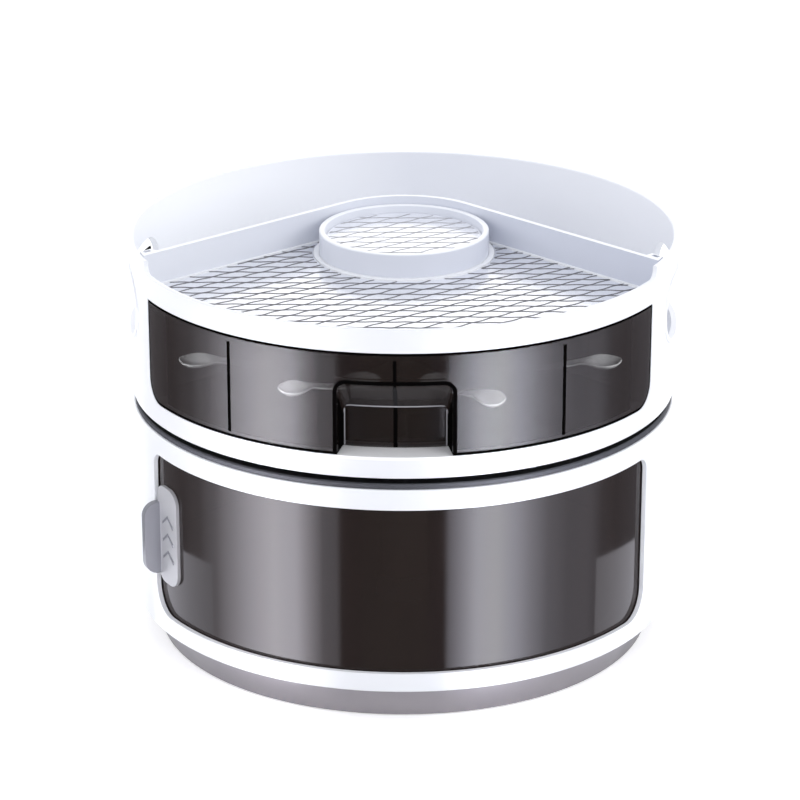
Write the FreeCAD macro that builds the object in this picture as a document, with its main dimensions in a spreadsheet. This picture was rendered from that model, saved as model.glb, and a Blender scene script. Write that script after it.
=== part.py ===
import FreeCAD, Part
import math
import os
import re
import Sketcher

# Rotating two-tier kitchen organizer.
# The frame is +Z up with the floor at zero, the vertical turning axis through the origin,
# and the drawer and the door window facing -Y. An azimuth is measured from -Y towards +X.
# Every length is in millimetres and every angle in degrees.

doc = FreeCAD.newDocument("rotating_organizer")
sheet = doc.addObject("Spreadsheet::Sheet", "Sizes")

SIZES = [
    ("casing_radius", 155.0, "outside of both white casings"),
    ("casing_wall", 2.5, "thickness of both casings"),
    ("edge_round", 0.8, "rounding of the casings' moulded edges"),
    ("seat_gap", 0.15, "play between pieces that sit in each other"),
    ("slide_gap", 0.35, "play beside a piece that slides"),
    ("bearing_gap", 0.05, "play round the spindle and the upper spigot"),
    ("thread_gap", 0.03, "play between a screw and its hole"),
    ("rest_gap", 0.05, "play between faces that rest on each other"),
    ("overlap", 0.2, "how far a feature starts inside the one that it joins"),
    ("overcut", 1.0, "how far a cut runs past a face"),
    ("foot_height", 2.0, "rubber foot under the base plate"),
    ("foot_radius", 7.0, "rubber foot"),
    ("foot_stem", 3.0, "stem of the foot in the base plate"),
    ("foot_inset", 27.0, "foot centre in from the casing"),
    ("foot_count", 6, "feet round the base"),
    ("base_inset", 13.0, "base edge at the table in from the casing"),
    ("shoulder_inset", 5.0, "top edge of the base in from the casing"),
    ("base_lift", 0.6, "base edge clear of the table"),
    ("base_wall", 2.2, "flared wall of the base"),
    ("base_plate", 2.0, "plate of the base"),
    ("base_gap", 0.8, "shadow gap between base and casing"),
    ("rib_height", 2.0, "ring ribs on the base plate"),
    ("inner_rib_gap", 31.9, "inner ring rib inside the race"),
    ("outer_rib_gap", 9.9, "outer ring rib outside the race"),
    ("race_radius", 100.0, "ball track"),
    ("race_width", 14.0, "flat steel race"),
    ("race_thickness", 2.4, "flat steel race"),
    ("race_spacing", 1.2, "gap between the two races"),
    ("ball_diameter", 4.0, "bearing ball"),
    ("ball_count", 24, "balls in the cage"),
    ("track_gap", 0.3, "play of a ball in its track"),
    ("cage_width", 10.0, "ball cage"),
    ("cage_thickness", 0.8, "ball cage"),
    ("spindle_radius", 4.0, "steel pin the tiers turn on"),
    ("spindle_flange", 8.0, "flange of the spindle"),
    ("flange_thickness", 1.5, "flange of the spindle"),
    ("hub_boss", 9.0, "boss under the pan"),
    ("hub_depth", 3.5, "boss under the pan"),
    ("washer_radius", 9.0, "washer over the pan"),
    ("washer_thickness", 1.2, "washer over the pan"),
    ("washer_lift", 0.3, "play of the pan under the washer"),
    ("pan_floor", 2.0, "floor of the lower compartment"),
    ("slope_inset", 32.0, "foot of the pan's slope in from the casing"),
    ("ledge_inset", 20.0, "top of the pan's slope in from the casing"),
    ("ledge_rise", 13.0, "ledge over the pan's floor"),
    ("groove_depth", 2.7, "door groove in the ledge"),
    ("groove_floor", 1.5, "plastic under the door groove"),
    ("groove_cheek", 1.65, "plastic inside the door groove"),
    ("casing_overlap", 4.7, "lower casing hangs below the ledge"),
    ("bump_height", 0.5, "snap bump on the pan's rim"),
    ("bump_angle", 3.0, "length of a snap bump"),
    ("bump_count", 8, "snap bumps round the rim"),
    ("lower_height", 118.6, "lower casing"),
    ("window_sill", 10.9, "lower window over the casing's edge"),
    ("window_head", 11.6, "casing above the lower window"),
    ("window_angle", 62.5, "half of the lower window"),
    ("window_top_round", 8.0, "upper corners of the lower window"),
    ("window_foot_round", 17.0, "lower corners of the lower window"),
    ("column_radius", 14.0, "column in the lower compartment"),
    ("column_wall", 2.0, "column"),
    ("collar_width", 2.2, "collar at the column's foot"),
    ("collar_height", 14.0, "collar at the column's foot"),
    ("deck_plate", 2.2, "plate over the lower compartment"),
    ("deck_drop", 0.3, "deck plate below the casing's top"),
    ("track_leg", 4.6, "legs of the upper door track"),
    ("seam_ring", 3.3, "dark ring seen between the tiers"),
    ("seam_gap", 3.3, "open gap between the tiers"),
    ("ring_inset", 1.0, "dark ring in from the casing"),
    ("ring_flange", 6.6, "flange of the ring on the deck"),
    ("ring_screw_count", 6, "screws that hold the ring on the deck"),
    ("glide_radius", 6.0, "glide pad under the upper tier"),
    ("glide_inset", 31.0, "centres of the glide pads in from the casing"),
    ("glide_seat", 0.8, "depth of a pad's seat"),
    ("glide_count", 8, "glide pads"),
    ("door_gap", 1.5, "door in from the casing's inside"),
    ("door_wall", 2.0, "rotary door"),
    ("door_swell", 0.9, "door's panel stands out of its edges, towards the window"),
    ("door_angle", 66.0, "half of the rotary door"),
    ("door_head_gap", 1.9, "door's top edge below the deck"),
    ("shoe_angle", 5.0, "length of a glide shoe on the door"),
    ("shoe_height", 1.8, "glide shoe on the door"),
    ("shoe_azimuth", 55.0, "outer shoes on the door"),
    ("handle_foot", 51.0, "lower end of the handle over the table"),
    ("handle_height", 58.0, "plate of the handle"),
    ("handle_angle", 8.7, "width of the handle's plate"),
    ("handle_margin", 0.4, "handle to window edge with the door shut"),
    ("handle_plate", 2.0, "thickness of the handle's plate"),
    ("handle_round", 8.5, "corners of the handle's plate"),
    ("fin_foot", 55.3, "lower end of the finger fin over the table"),
    ("fin_height", 42.7, "finger fin"),
    ("fin_depth", 9.6, "finger fin beyond the plate"),
    ("fin_angle", 1.5, "thickness of the finger fin"),
    ("fin_round", 8.0, "outer corners of the finger fin"),
    ("chevron_width", 12.0, "raised grip chevrons on the handle"),
    ("chevron_rise", 5.0, "raised grip chevrons on the handle"),
    ("chevron_stroke", 1.6, "raised grip chevrons on the handle"),
    ("chevron_relief", 0.5, "raised grip chevrons on the handle"),
    ("chevron_pitch", 10.5, "raised grip chevrons on the handle"),
    ("chevron_shift", 2.0, "chevrons beside the middle of the plate, away from the fin"),
    ("upper_height", 90.9, "upper casing at the back"),
    ("floor_lift", 2.0, "upper floor over the casing's lower edge"),
    ("floor_plate", 2.5, "upper floor"),
    ("spigot_radius", 10.0, "spigot under the upper floor"),
    ("spigot_wall", 3.0, "spigot under the upper floor"),
    ("spigot_depth", 12.9, "spigot under the upper floor"),
    ("keeper_radius", 11.4, "keeper under the deck's collar"),
    ("keeper_plate", 2.0, "keeper under the deck's collar"),
    ("keeper_gap", 0.4, "play over the keeper"),
    ("opening_sill", 12.3, "drawer opening over the casing's edge"),
    ("opening_height", 58.4, "drawer opening"),
    ("opening_angle", 63.3, "half of the drawer opening"),
    ("opening_round", 14.0, "lower corners of the drawer opening"),
    ("sill_depth", 17.0, "flange behind the drawer's sill"),
    ("sill_plate", 2.0, "flange behind the drawer's sill"),
    ("lip_drop", 7.1, "front lip below the back rim"),
    ("lip_angle", 65.0, "half of the lowered front lip"),
    ("lip_round", 5.0, "fillet where the lip steps up"),
    ("boss_radius", 4.0, "screw bosses in the upper casing"),
    ("boss_count", 6, "screw bosses in the upper casing"),
    ("grip_length", 100.0, "side hand-hold"),
    ("grip_height", 34.0, "side hand-hold"),
    ("grip_foot", 38.5, "hand-hold over the casing's lower edge"),
    ("grip_rim", 2.4, "raised rim round the hand-hold"),
    ("grip_relief", 0.8, "raised rim round the hand-hold"),
    ("bay_slope", 43.65, "slope of the wedge-shaped partition"),
    ("dish_center", 12.0, "dish centre behind the turning axis"),
    ("bay_inner", 48.6, "partition's front face from the dish centre"),
    ("bay_wall_plate", 2.0, "partition under the tray"),
    ("tray_level", 69.5, "underside of the tray over the casing's edge"),
    ("tray_plate", 2.0, "wedge tray"),
    ("tray_wall", 3.0, "raised wall of the tray"),
    ("tray_gap", 0.3, "tray's edge to the casing"),
    ("bead_width", 1.6, "bead round the mat"),
    ("bead_height", 1.3, "bead round the mat"),
    ("seat_bead", 3.0, "bead round the dish"),
    ("clip_depth", 4.5, "corner clip behind the tray wall"),
    ("clip_length", 10.0, "corner clip along the wall"),
    ("slot_inset", 7.5, "slot in the corner clip in from the wall's end"),
    ("slot_length", 4.5, "slot in the corner clip"),
    ("slot_width", 2.6, "slot in the corner clip"),
    ("slot_cheek", 0.9, "plastic between the slot and the tray wall"),
    ("mat_thickness", 0.8, "mesh-faced mats"),
    ("mat_gap", 0.3, "play round a mat"),
    ("dish_height", 15.0, "round dish"),
    ("dish_gap", 0.2, "dish to tray wall"),
    ("dish_rim", 4.0, "flat ring of the dish"),
    ("dish_depth", 4.4, "rim over the dish's mat"),
    ("dish_floor", 2.2, "floor of the dish"),
    ("dish_wall", 2.6, "skirt of the dish"),
    ("dish_draft", 0.6, "slant of the dish's inside wall"),
    ("screw_azimuth", 30.0, "first screw of each ring of screws"),
    ("screw_inset", 6.0, "casing screws in from the casing"),
    ("screw_radius", 1.5, "thin screws"),
    ("head_radius", 2.8, "heads of the thin screws"),
    ("head_height", 1.2, "heads of the thin screws"),
    ("thick_screw", 2.0, "spindle screw"),
    ("screw_tail", 0.5, "room under the spindle screw's end"),
    ("thick_head", 4.2, "head of the spindle screw"),
    ("thick_head_height", 2.5, "head of the spindle screw"),
    ("recess_arm", 1.5, "arm of a screw's cross recess"),
    ("recess_slot", 0.6, "slot of a screw's cross recess"),
    ("recess_depth", 0.7, "depth of a screw's cross recess"),
    ("rail_offset", 50.0, "drawer rail beside the axis"),
    ("rail_inset", 31.0, "front end of the rails in from the casing"),
    ("rail_back", 12.0, "back end of the rails"),
    ("rail_foot", 1.6, "foot of a rail"),
    ("rail_head", 2.6, "head of a rail"),
    ("rail_rise", 6.8, "top of a rail over the upper floor"),
    ("rail_foot_half", 6.0, "half width of a rail's foot"),
    ("rail_head_half", 4.0, "half width of a rail's head"),
    ("rail_web_half", 1.5, "half width of a rail's web"),
    ("clip_front", 2.0, "front end of a drawer clip"),
    ("clip_back", 10.0, "back end of a drawer clip"),
    ("clip_bridge", 1.0, "bridge of a drawer clip"),
    ("clip_half", 6.0, "half width of a drawer clip"),
    ("clip_lip", 1.7, "lips of a drawer clip"),
    ("drawer_lift", 0.3, "drawer over its sill"),
    ("drawer_floor", 2.0, "floor of the drawer"),
    ("drawer_wall", 2.0, "side walls of the drawer"),
    ("drawer_inset", 26.0, "drawer's box in from the casing"),
    ("drawer_inner", 39.8, "drawer's back face from the dish centre"),
    ("drawer_height", 54.9, "side walls of the drawer"),
    ("front_wall", 2.4, "front panel of the drawer"),
    ("front_play", 0.3, "front panel to its opening, degrees and mm"),
    ("notch_angle", 11.5, "half of the finger recess"),
    ("notch_top", 40.2, "finger recess over the drawer's floor"),
    ("notch_depth", 14.0, "finger recess"),
    ("notch_back", 23.2, "height of the recess's back panel"),
    ("notch_wall", 2.0, "walls of the finger recess"),
    ("notch_round", 5.0, "upper corners of the finger recess"),
    ("divider_angle", 35.7, "outer dividers"),
    ("divider_plate", 1.6, "drawer dividers"),
    ("divider_height", 52.0, "drawer dividers"),
    ("divider_gap", 0.2, "play at a divider's ends"),
    ("divider_meet", 5.0, "outer dividers stop short of the axis"),
    ("bowl_radius", 12.5, "spoon bowl"),
    ("bowl_depth", 7.0, "spoon bowl"),
    ("bowl_base", 8.0, "flat part of the spoon bowl"),
    ("spoon_wall", 1.5, "thickness of a spoon"),
    ("spoon_neck", 5.0, "width of a spoon's handle"),
    ("spoon_leaf", 11.0, "width of a spoon's leaf-shaped end"),
    ("leaf_start", 63.0, "leaf from the bowl's centre"),
    ("spoon_reach", 84.0, "end of the spoon from the bowl's centre"),
    ("leaf_rise", 26.0, "height of the kink before the leaf"),
    ("spoon_rise", 27.5, "height of the leaf's end"),
    ("outer_tip_gap", 2.36, "tip of an outer spoon to the drawer's front"),
    ("outer_tip_azimuth", 51.77, "tip of an outer spoon"),
    ("outer_spoon_turn", 45.5, "direction of an outer spoon"),
    ("inner_tip_gap", 4.85, "tip of an inner spoon to the drawer's front"),
    ("inner_tip_azimuth", 23.96, "tip of an inner spoon"),
    ("inner_spoon_turn", 26.6, "direction of an inner spoon"),
]

FOLLOWERS = [
    ("casing_inner", "casing_radius - casing_wall"),
    ("pan_rim", "casing_inner - seat_gap"),
    ("base_foot", "casing_radius - base_inset"),
    ("base_shoulder", "casing_radius - shoulder_inset"),
    ("base_top", "foot_height + base_plate"),
    ("race_inner", "race_radius - race_width / 2"),
    ("race_outer", "race_radius + race_width / 2"),
    ("inner_rib", "race_inner - inner_rib_gap - base_wall / 2"),
    ("outer_rib", "race_outer + outer_rib_gap + base_wall / 2"),
    ("ball_level", "base_top + race_thickness + race_spacing / 2"),
    ("track_radius", "ball_diameter / 2 + track_gap"),
    ("pan_under", "base_top + 2 * race_thickness + race_spacing"),
    ("pan_top", "pan_under + pan_floor"),
    ("ledge_top", "pan_top + ledge_rise"),
    ("door_outer", "casing_inner - door_gap"),
    ("door_inner", "door_outer - door_wall"),
    ("door_face", "door_outer + door_swell"),
    ("groove_inner", "door_inner - slide_gap"),
    ("groove_outer", "door_outer + slide_gap"),
    ("groove_level", "ledge_top - groove_depth"),
    ("rim_under", "groove_level - groove_floor"),
    ("lower_bottom", "ledge_top - casing_overlap"),
    ("lower_top", "lower_bottom + lower_height"),
    ("window_bottom", "lower_bottom + window_sill"),
    ("window_height", "lower_height - window_sill - window_head"),
    ("deck_under", "lower_top - deck_drop"),
    ("deck_top", "deck_under + deck_plate"),
    ("track_bottom", "deck_under - track_leg"),
    ("ring_top", "lower_top + seam_ring"),
    ("ring_radius", "casing_radius - ring_inset"),
    ("ring_screw_ring", "groove_inner - ring_flange / 2"),
    ("glide_ring", "casing_radius - glide_inset"),
    ("door_top", "deck_under - door_head_gap"),
    ("door_bottom", "groove_level + 2 * slide_gap"),
    ("swell_bottom", "ledge_top + 2 * slide_gap"),
    ("swell_top", "track_bottom - 2 * slide_gap"),
    ("upper_bottom", "ring_top + seam_gap"),
    ("upper_top", "upper_bottom + upper_height"),
    ("floor_under", "upper_bottom + floor_lift"),
    ("floor_top", "floor_under + floor_plate"),
    ("spigot_bottom", "floor_under - spigot_depth"),
    ("collar_bottom", "spigot_bottom - overlap"),
    ("keeper_top", "collar_bottom - keeper_gap"),
    ("sill_top", "upper_bottom + opening_sill"),
    ("opening_top", "sill_top + opening_height"),
    ("lip_top", "upper_top - lip_drop"),
    ("sill_inner", "casing_radius - sill_depth"),
    ("boss_ring", "casing_radius - screw_inset"),
    ("boss_top", "sill_top - sill_plate"),
    ("grip_low", "upper_bottom + grip_foot"),
    ("tray_under", "upper_bottom + tray_level"),
    ("tray_top", "tray_under + tray_plate"),
    ("tray_edge", "casing_inner - tray_gap"),
    ("wall_reach", "1.1 * casing_radius"),
    ("wall_offset", "bay_inner + tray_wall + dish_center * cos(bay_slope)"),
    ("wall_end", "dish_center * sin(bay_slope) + sqrt(tray_edge ^ 2 - wall_offset ^ 2)"),
    ("clip_start", "wall_end - clip_length"),
    ("slot_start", "wall_end - slot_inset"),
    ("dish_radius", "bay_inner - dish_gap"),
    ("dish_top", "tray_top + dish_height"),
    ("dish_mat_top", "dish_top - dish_depth"),
    ("dish_floor_top", "dish_mat_top - mat_thickness"),
    ("rail_top", "floor_top + rail_rise"),
    ("rail_front", "casing_radius - rail_inset"),
    ("drawer_bottom", "sill_top + drawer_lift"),
    ("drawer_floor_top", "drawer_bottom + drawer_floor"),
    ("drawer_half", "casing_radius - drawer_inset"),
    ("panel_inner", "casing_radius - front_wall"),
    ("panel_top", "opening_top - front_play"),
    ("panel_angle", "opening_angle - front_play"),
    ("notch_level", "drawer_bottom + notch_top"),
    ("notch_panel", "casing_radius - notch_depth"),
    ("handle_azimuth", "window_angle - handle_margin - handle_angle / 2"),
    ("fin_azimuth", "window_angle - handle_margin - fin_angle / 2"),
    ("handle_inner", "door_face + rest_gap"),
    ("handle_outer", "handle_inner + handle_plate"),
    ("outer_tip", "panel_inner - outer_tip_gap"),
    ("inner_tip", "panel_inner - inner_tip_gap"),
]

aliases = set()
for row, (alias, content, note) in enumerate(SIZES, 1):
    sheet.set(f"A{row}", note)
    sheet.set(f"B{row}", str(content))
    sheet.setAlias(f"B{row}", alias)
    aliases.add(alias)
for row, (alias, content) in enumerate(FOLLOWERS, len(SIZES) + 2):
    sheet.set(f"A{row}", "follows")
    sheet.set(f"B{row}", f"={content}")
    sheet.setAlias(f"B{row}", alias)
    aliases.add(alias)
doc.recompute()


def formula(text):
    """A formula in plain size names, with each name pointed at the sheet."""
    return re.sub(
        r"[a-z][a-z0-9_]*",
        lambda word: f"Sizes.{word.group()}" if word.group() in aliases else word.group(),
        str(text),
    )


def number(text):
    """The present value of a formula."""
    return float(sheet.evalExpression(formula(text)))


def signed(side, text):
    """The formula itself, or its negative on the left."""
    return f"({text})" if side > 0 else f"-({text})"


def origin_part(body, role):
    return next(part for part in body.Origin.OriginFeatures if part.Role == role)


def new_body(name):
    body = doc.addObject("PartDesign::Body", name)
    body.Label = name
    body.AllowCompound = True
    return body


def pin_point(drawing, geometry, corner, across, up):
    """Fix one point of a drawing at two formulas."""
    for kind, axis, text in (("DistanceX", -2, across), ("DistanceY", -1, up)):
        value = number(text)
        if abs(value) < 1e-9:
            drawing.addConstraint(Sketcher.Constraint("PointOnObject", geometry, corner, axis))
        else:
            rule = Sketcher.Constraint(kind, -1, 1, geometry, corner, value)
            index = drawing.addConstraint(rule)
            drawing.setExpression(f"Constraints[{index}]", formula(text))


def draw_circle(drawing, across, up, radius):
    centre = FreeCAD.Vector(number(across), number(up), 0)
    circle = Part.Circle(centre, FreeCAD.Vector(0, 0, 1), number(radius))
    ring = drawing.addGeometry(circle)
    pin_point(drawing, ring, 3, across, up)
    index = drawing.addConstraint(Sketcher.Constraint("Radius", ring, number(radius)))
    drawing.setExpression(f"Constraints[{index}]", formula(radius))


def round_corner(before, here, after, radius):
    """Start, middle and end of the arc that rounds a corner."""
    back = (before - here).normalize()
    ahead = (after - here).normalize()
    half = back.getAngle(ahead) / 2
    start = here + back * (radius / math.tan(half))
    end = here + ahead * (radius / math.tan(half))
    centre = here + (back + ahead).normalize() * (radius / math.sin(half))
    middle = centre + (here - centre).normalize() * radius
    return start, middle, end


def draw_loop(drawing, corners):
    """A closed outline. A corner is (across, up), or (across, up, rounding)."""
    places = [FreeCAD.Vector(number(c[0]), number(c[1]), 0) for c in corners]
    count = len(corners)
    arcs = {}
    for index, corner in enumerate(corners):
        if len(corner) == 3:
            after = places[(index + 1) % count]
            arcs[index] = round_corner(places[index - 1], places[index], after, number(corner[2]))
    lines = []
    for index in range(count):
        following = (index + 1) % count
        start = arcs[index][2] if index in arcs else places[index]
        end = arcs[following][0] if following in arcs else places[following]
        lines.append(drawing.addGeometry(Part.LineSegment(start, end)))
    for index, corner in enumerate(corners):
        before, after = lines[index - 1], lines[index]
        if index not in arcs:
            drawing.addConstraint(Sketcher.Constraint("Coincident", before, 2, after, 1))
            pin_point(drawing, after, 1, corner[0], corner[1])
            continue
        start, middle, end = arcs[index]
        arc = drawing.addGeometry(Part.Arc(start, middle, end))
        flipped = drawing.getPoint(arc, 1).distanceToPoint(start) > 1e-6
        first, last = (2, 1) if flipped else (1, 2)
        drawing.addConstraint(Sketcher.Constraint("Tangent", before, 2, arc, first))
        drawing.addConstraint(Sketcher.Constraint("Tangent", arc, last, after, 1))
        size = drawing.addConstraint(Sketcher.Constraint("Radius", arc, number(corner[2])))
        drawing.setExpression(f"Constraints[{size}]", formula(corner[2]))
        tip = drawing.addGeometry(Part.Point(places[index]), True)
        pin_point(drawing, tip, 1, corner[0], corner[1])
        drawing.addConstraint(Sketcher.Constraint("PointOnObject", tip, 1, before))
        drawing.addConstraint(Sketcher.Constraint("PointOnObject", tip, 1, after))


def draw(body, name, plane, loops, lift="0", turn="0"):
    """A sketch on one of the body's own planes, lifted along its normal and turned about +Z."""
    drawing = body.newObject("Sketcher::SketchObject", name)
    drawing.AttachmentSupport = (origin_part(body, plane), [""])
    drawing.MapMode = "FlatFace"
    angle = number(turn)
    axis = FreeCAD.Vector(0, 1 if angle >= 0 else -1, 0)
    tilt = FreeCAD.Rotation(axis, abs(angle))
    drawing.AttachmentOffset = FreeCAD.Placement(tilt.multVec(FreeCAD.Vector(0, 0, number(lift))), tilt)
    if turn != "0":
        drawing.setExpression("AttachmentOffset.Rotation.Angle", f"abs({formula(turn)})")
        drawing.setExpression("AttachmentOffset.Base.x", f"({formula(lift)}) * sin({formula(turn)})")
    if lift != "0":
        drawing.setExpression("AttachmentOffset.Base.z", f"({formula(lift)}) * cos({formula(turn)})")
    for loop in loops:
        if loop[0] == "circle":
            draw_circle(drawing, *loop[1:])
        else:
            draw_loop(drawing, loop)
    return drawing


def pad(body, name, loops, start, length, plane="XY_Plane", turn="0", both_ways=False):
    """Raise outlines off a plane."""
    feature = body.newObject("PartDesign::Pad", name)
    feature.Profile = draw(body, f"{name}_outline", plane, loops, start, turn)
    feature.Midplane = both_ways
    feature.setExpression("Length", formula(length))
    body.Tip = feature
    return feature


def sink(body, name, loops, top, depth, plane="XY_Plane", turn="0", both_ways=False):
    """Cut outlines into the body, down from a plane."""
    feature = body.newObject("PartDesign::Pocket", name)
    feature.Profile = draw(body, f"{name}_outline", plane, loops, top, turn)
    feature.Midplane = both_ways
    feature.setExpression("Length", formula(depth))
    body.Tip = feature
    return feature


def turn_profile(body, kind, name, loops, sweep, turn):
    """Turn (radius, height) outlines about the vertical axis, centred on -Y or on an azimuth."""
    mirrored = []
    for loop in loops:
        if loop[0] == "circle":
            mirrored.append(("circle", f"-({loop[1]})", *loop[2:]))
        else:
            mirrored.append([(f"-({corner[0]})", *corner[1:]) for corner in loop])
    feature = body.newObject(kind, name)
    drawing = draw(body, f"{name}_outline", "YZ_Plane", mirrored, turn=turn)
    feature.Profile = drawing
    feature.ReferenceAxis = (drawing, ["V_Axis"])
    if sweep == "360":
        feature.Angle = 360
    else:
        feature.Midplane = True
        feature.setExpression("Angle", formula(sweep))
    body.Tip = feature
    return feature


def spin(body, name, loops, sweep="360", turn="0"):
    return turn_profile(body, "PartDesign::Revolution", name, loops, sweep, turn)


def spin_cut(body, name, loops, sweep="360", turn="0"):
    return turn_profile(body, "PartDesign::Groove", name, loops, sweep, turn)


def around(body, name, features, count):
    """Repeat features round the vertical axis."""
    pattern = body.newObject("PartDesign::PolarPattern", name)
    pattern.Originals = features
    pattern.Axis = (origin_part(body, "Z_Axis"), [""])
    pattern.Angle = 360
    pattern.setExpression("Occurrences", formula(count))
    body.Tip = pattern
    return pattern


def soften(body, name, radius, chosen):
    """Round those edges of the body's last feature that the test picks."""
    doc.recompute()
    base = body.Tip
    edges = [f"Edge{index}" for index, edge in enumerate(base.Shape.Edges, 1) if chosen(edge)]
    feature = body.newObject("PartDesign::Fillet", name)
    feature.Base = (base, edges)
    feature.setExpression("Radius", formula(radius))
    body.Tip = feature
    return feature


def azimuth(point):
    return math.degrees(math.atan2(point.x, -point.y))


def radial_edge(edge, angle, level, inner, outer):
    """True for an edge that runs outward at one azimuth, either side, and one level."""
    near = number("casing_radius") * 0.0004
    radii = sorted(math.hypot(v.X, v.Y) for v in edge.Vertexes)
    return len(radii) == 2 and abs(radii[0] - inner) < 1 and abs(radii[1] - outer) < 1 and all(
        abs(abs(azimuth(v.Point)) - angle) < near and abs(v.Z - level) < near for v in edge.Vertexes
    )


def ring_place(radius, angle):
    """Formulas for a place at a radius and an azimuth."""
    return f"{radius} * sin({angle})", f"-{radius} * cos({angle})"


def rectangle(left, right, low, high):
    return [(left, low), (right, low), (right, high), (left, high)]


def cross(across, up):
    """The cross recess of a screw head."""
    arm, slot = "recess_arm", "recess_slot / 2"
    steps = [
        (f"-{arm}", f"-{slot}"), (f"-{slot}", f"-{slot}"), (f"-{slot}", f"-{arm}"), (slot, f"-{arm}"),
        (slot, f"-{slot}"), (arm, f"-{slot}"), (arm, slot), (slot, slot),
        (slot, arm), (f"-{slot}", arm), (f"-{slot}", slot), (f"-{arm}", slot),
    ]
    return [(f"{across} + ({x})", f"{up} + ({y})") for x, y in steps]


def vee_end(distance, side):
    """Far end of one straight of the wedge-shaped partition, at a distance from the dish centre."""
    across = f"({distance}) * sin(bay_slope) + wall_reach * cos(bay_slope)"
    up = f"dish_center + ({distance}) * cos(bay_slope) - wall_reach * sin(bay_slope)"
    return signed(side, across), up


def vee_apex(distance):
    """Rounded point of the wedge, an arc about the dish centre."""
    return "0", f"dish_center + ({distance}) / cos(bay_slope)", distance


def vee_band(near, far):
    """Outline of a wall that follows the wedge."""
    return [
        vee_end(near, -1), vee_apex(near), vee_end(near, 1),
        vee_end(far, 1), vee_apex(far), vee_end(far, -1),
    ]


def vee_area(distance):
    """Everything in front of the wedge, drawn well past the casing."""
    return [
        vee_end(distance, -1), vee_apex(distance), vee_end(distance, 1),
        ("wall_reach", "-wall_reach"), ("-wall_reach", "-wall_reach"),
    ]


def vee_place(distance, along, side):
    """A place beside the wedge: distance from the dish centre, then along the straight."""
    across = f"({distance}) * sin(bay_slope) + ({along}) * cos(bay_slope)"
    up = f"dish_center + ({distance}) * cos(bay_slope) - ({along}) * sin(bay_slope)"
    return signed(side, across), up


def vee_patch(near, far, start, end, side):
    """A strip beside one straight of the wedge."""
    return [
        vee_place(near, start, side), vee_place(near, end, side),
        vee_place(far, end, side), vee_place(far, start, side),
    ]


def trim_outside(body, name, radius, low, high):
    """Cut away everything beyond a radius."""
    far = "2 * wall_reach"
    return spin_cut(body, name, [rectangle(radius, far, low, high)])


# Base that stands on the table

base_shell = new_body("base_shell")
base_slant = "(base_shoulder - base_foot) / (lower_bottom - base_gap - base_lift)"
skirt_inside = f"base_foot - base_wall + ({base_slant}) * (base_top - base_lift)"
spin(base_shell, "base_body", [[
    ("spindle_radius", "foot_height"),
    ("base_foot - base_wall", "foot_height"),
    ("base_foot - base_wall", "base_lift"),
    ("base_foot", "base_lift", "base_wall / 3"),
    ("base_shoulder", "lower_bottom - base_gap", "base_wall / 3"),
    ("base_shoulder - base_wall", "lower_bottom - base_gap", "base_wall / 3"),
    (skirt_inside, "base_top", "base_wall"),
    ("outer_rib + base_wall / 2", "base_top"),
    ("outer_rib + base_wall / 2", "base_top + rib_height"),
    ("outer_rib - base_wall / 2", "base_top + rib_height"),
    ("outer_rib - base_wall / 2", "base_top"),
    ("inner_rib + base_wall / 2", "base_top"),
    ("inner_rib + base_wall / 2", "base_top + rib_height"),
    ("inner_rib - base_wall / 2", "base_top + rib_height"),
    ("inner_rib - base_wall / 2", "base_top"),
    ("spindle_radius", "base_top"),
]])
foot_across, foot_up = ring_place("(casing_radius - foot_inset)", "screw_azimuth")
foot_hole = sink(
    base_shell, "foot_hole", [("circle", foot_across, foot_up, "foot_stem + seat_gap")],
    "base_top + overcut", "base_plate + 2 * overcut",
)
around(base_shell, "foot_holes", [foot_hole], "foot_count")

rubber_feet = new_body("rubber_feet")
foot_pad = pad(rubber_feet, "foot_pad", [("circle", foot_across, foot_up, "foot_radius")], "0", "foot_height")
foot_stem = pad(
    rubber_feet, "foot_stem_post", [("circle", foot_across, foot_up, "foot_stem")],
    "foot_height", "base_plate - seat_gap",
)
around(rubber_feet, "feet", [foot_pad, foot_stem], "foot_count")

for race_name, race_low in (
    ("base_race", "base_top"),
    ("pan_race", "pan_under - race_thickness"),
):
    race = new_body(race_name)
    spin(race, f"{race_name}_plate", [
        rectangle("race_inner", "race_outer", race_low, f"{race_low} + race_thickness"),
    ])
    spin_cut(race, f"{race_name}_track", [("circle", "race_radius", "ball_level", "track_radius")])

ball_cage = new_body("ball_cage")
spin(ball_cage, "cage_plate", [rectangle(
    "race_radius - cage_width / 2", "race_radius + cage_width / 2",
    "ball_level - cage_thickness / 2", "ball_level + cage_thickness / 2",
)])
cage_hole = sink(
    ball_cage, "cage_hole", [("circle", "0", "-race_radius", "ball_diameter / 2 + bearing_gap")],
    "ball_level + ball_diameter", "2 * ball_diameter",
)
around(ball_cage, "cage_holes", [cage_hole], "ball_count")

bearing_balls = new_body("bearing_balls")
ball = bearing_balls.newObject("PartDesign::AdditiveSphere", "ball")
ball.AttachmentSupport = (origin_part(bearing_balls, "XY_Plane"), [""])
ball.MapMode = "FlatFace"
ball.setExpression("Radius", formula("ball_diameter / 2"))
ball.setExpression("AttachmentOffset.Base.y", formula("-race_radius"))
ball.setExpression("AttachmentOffset.Base.z", formula("ball_level"))
around(bearing_balls, "balls", [ball], "ball_count")

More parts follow.
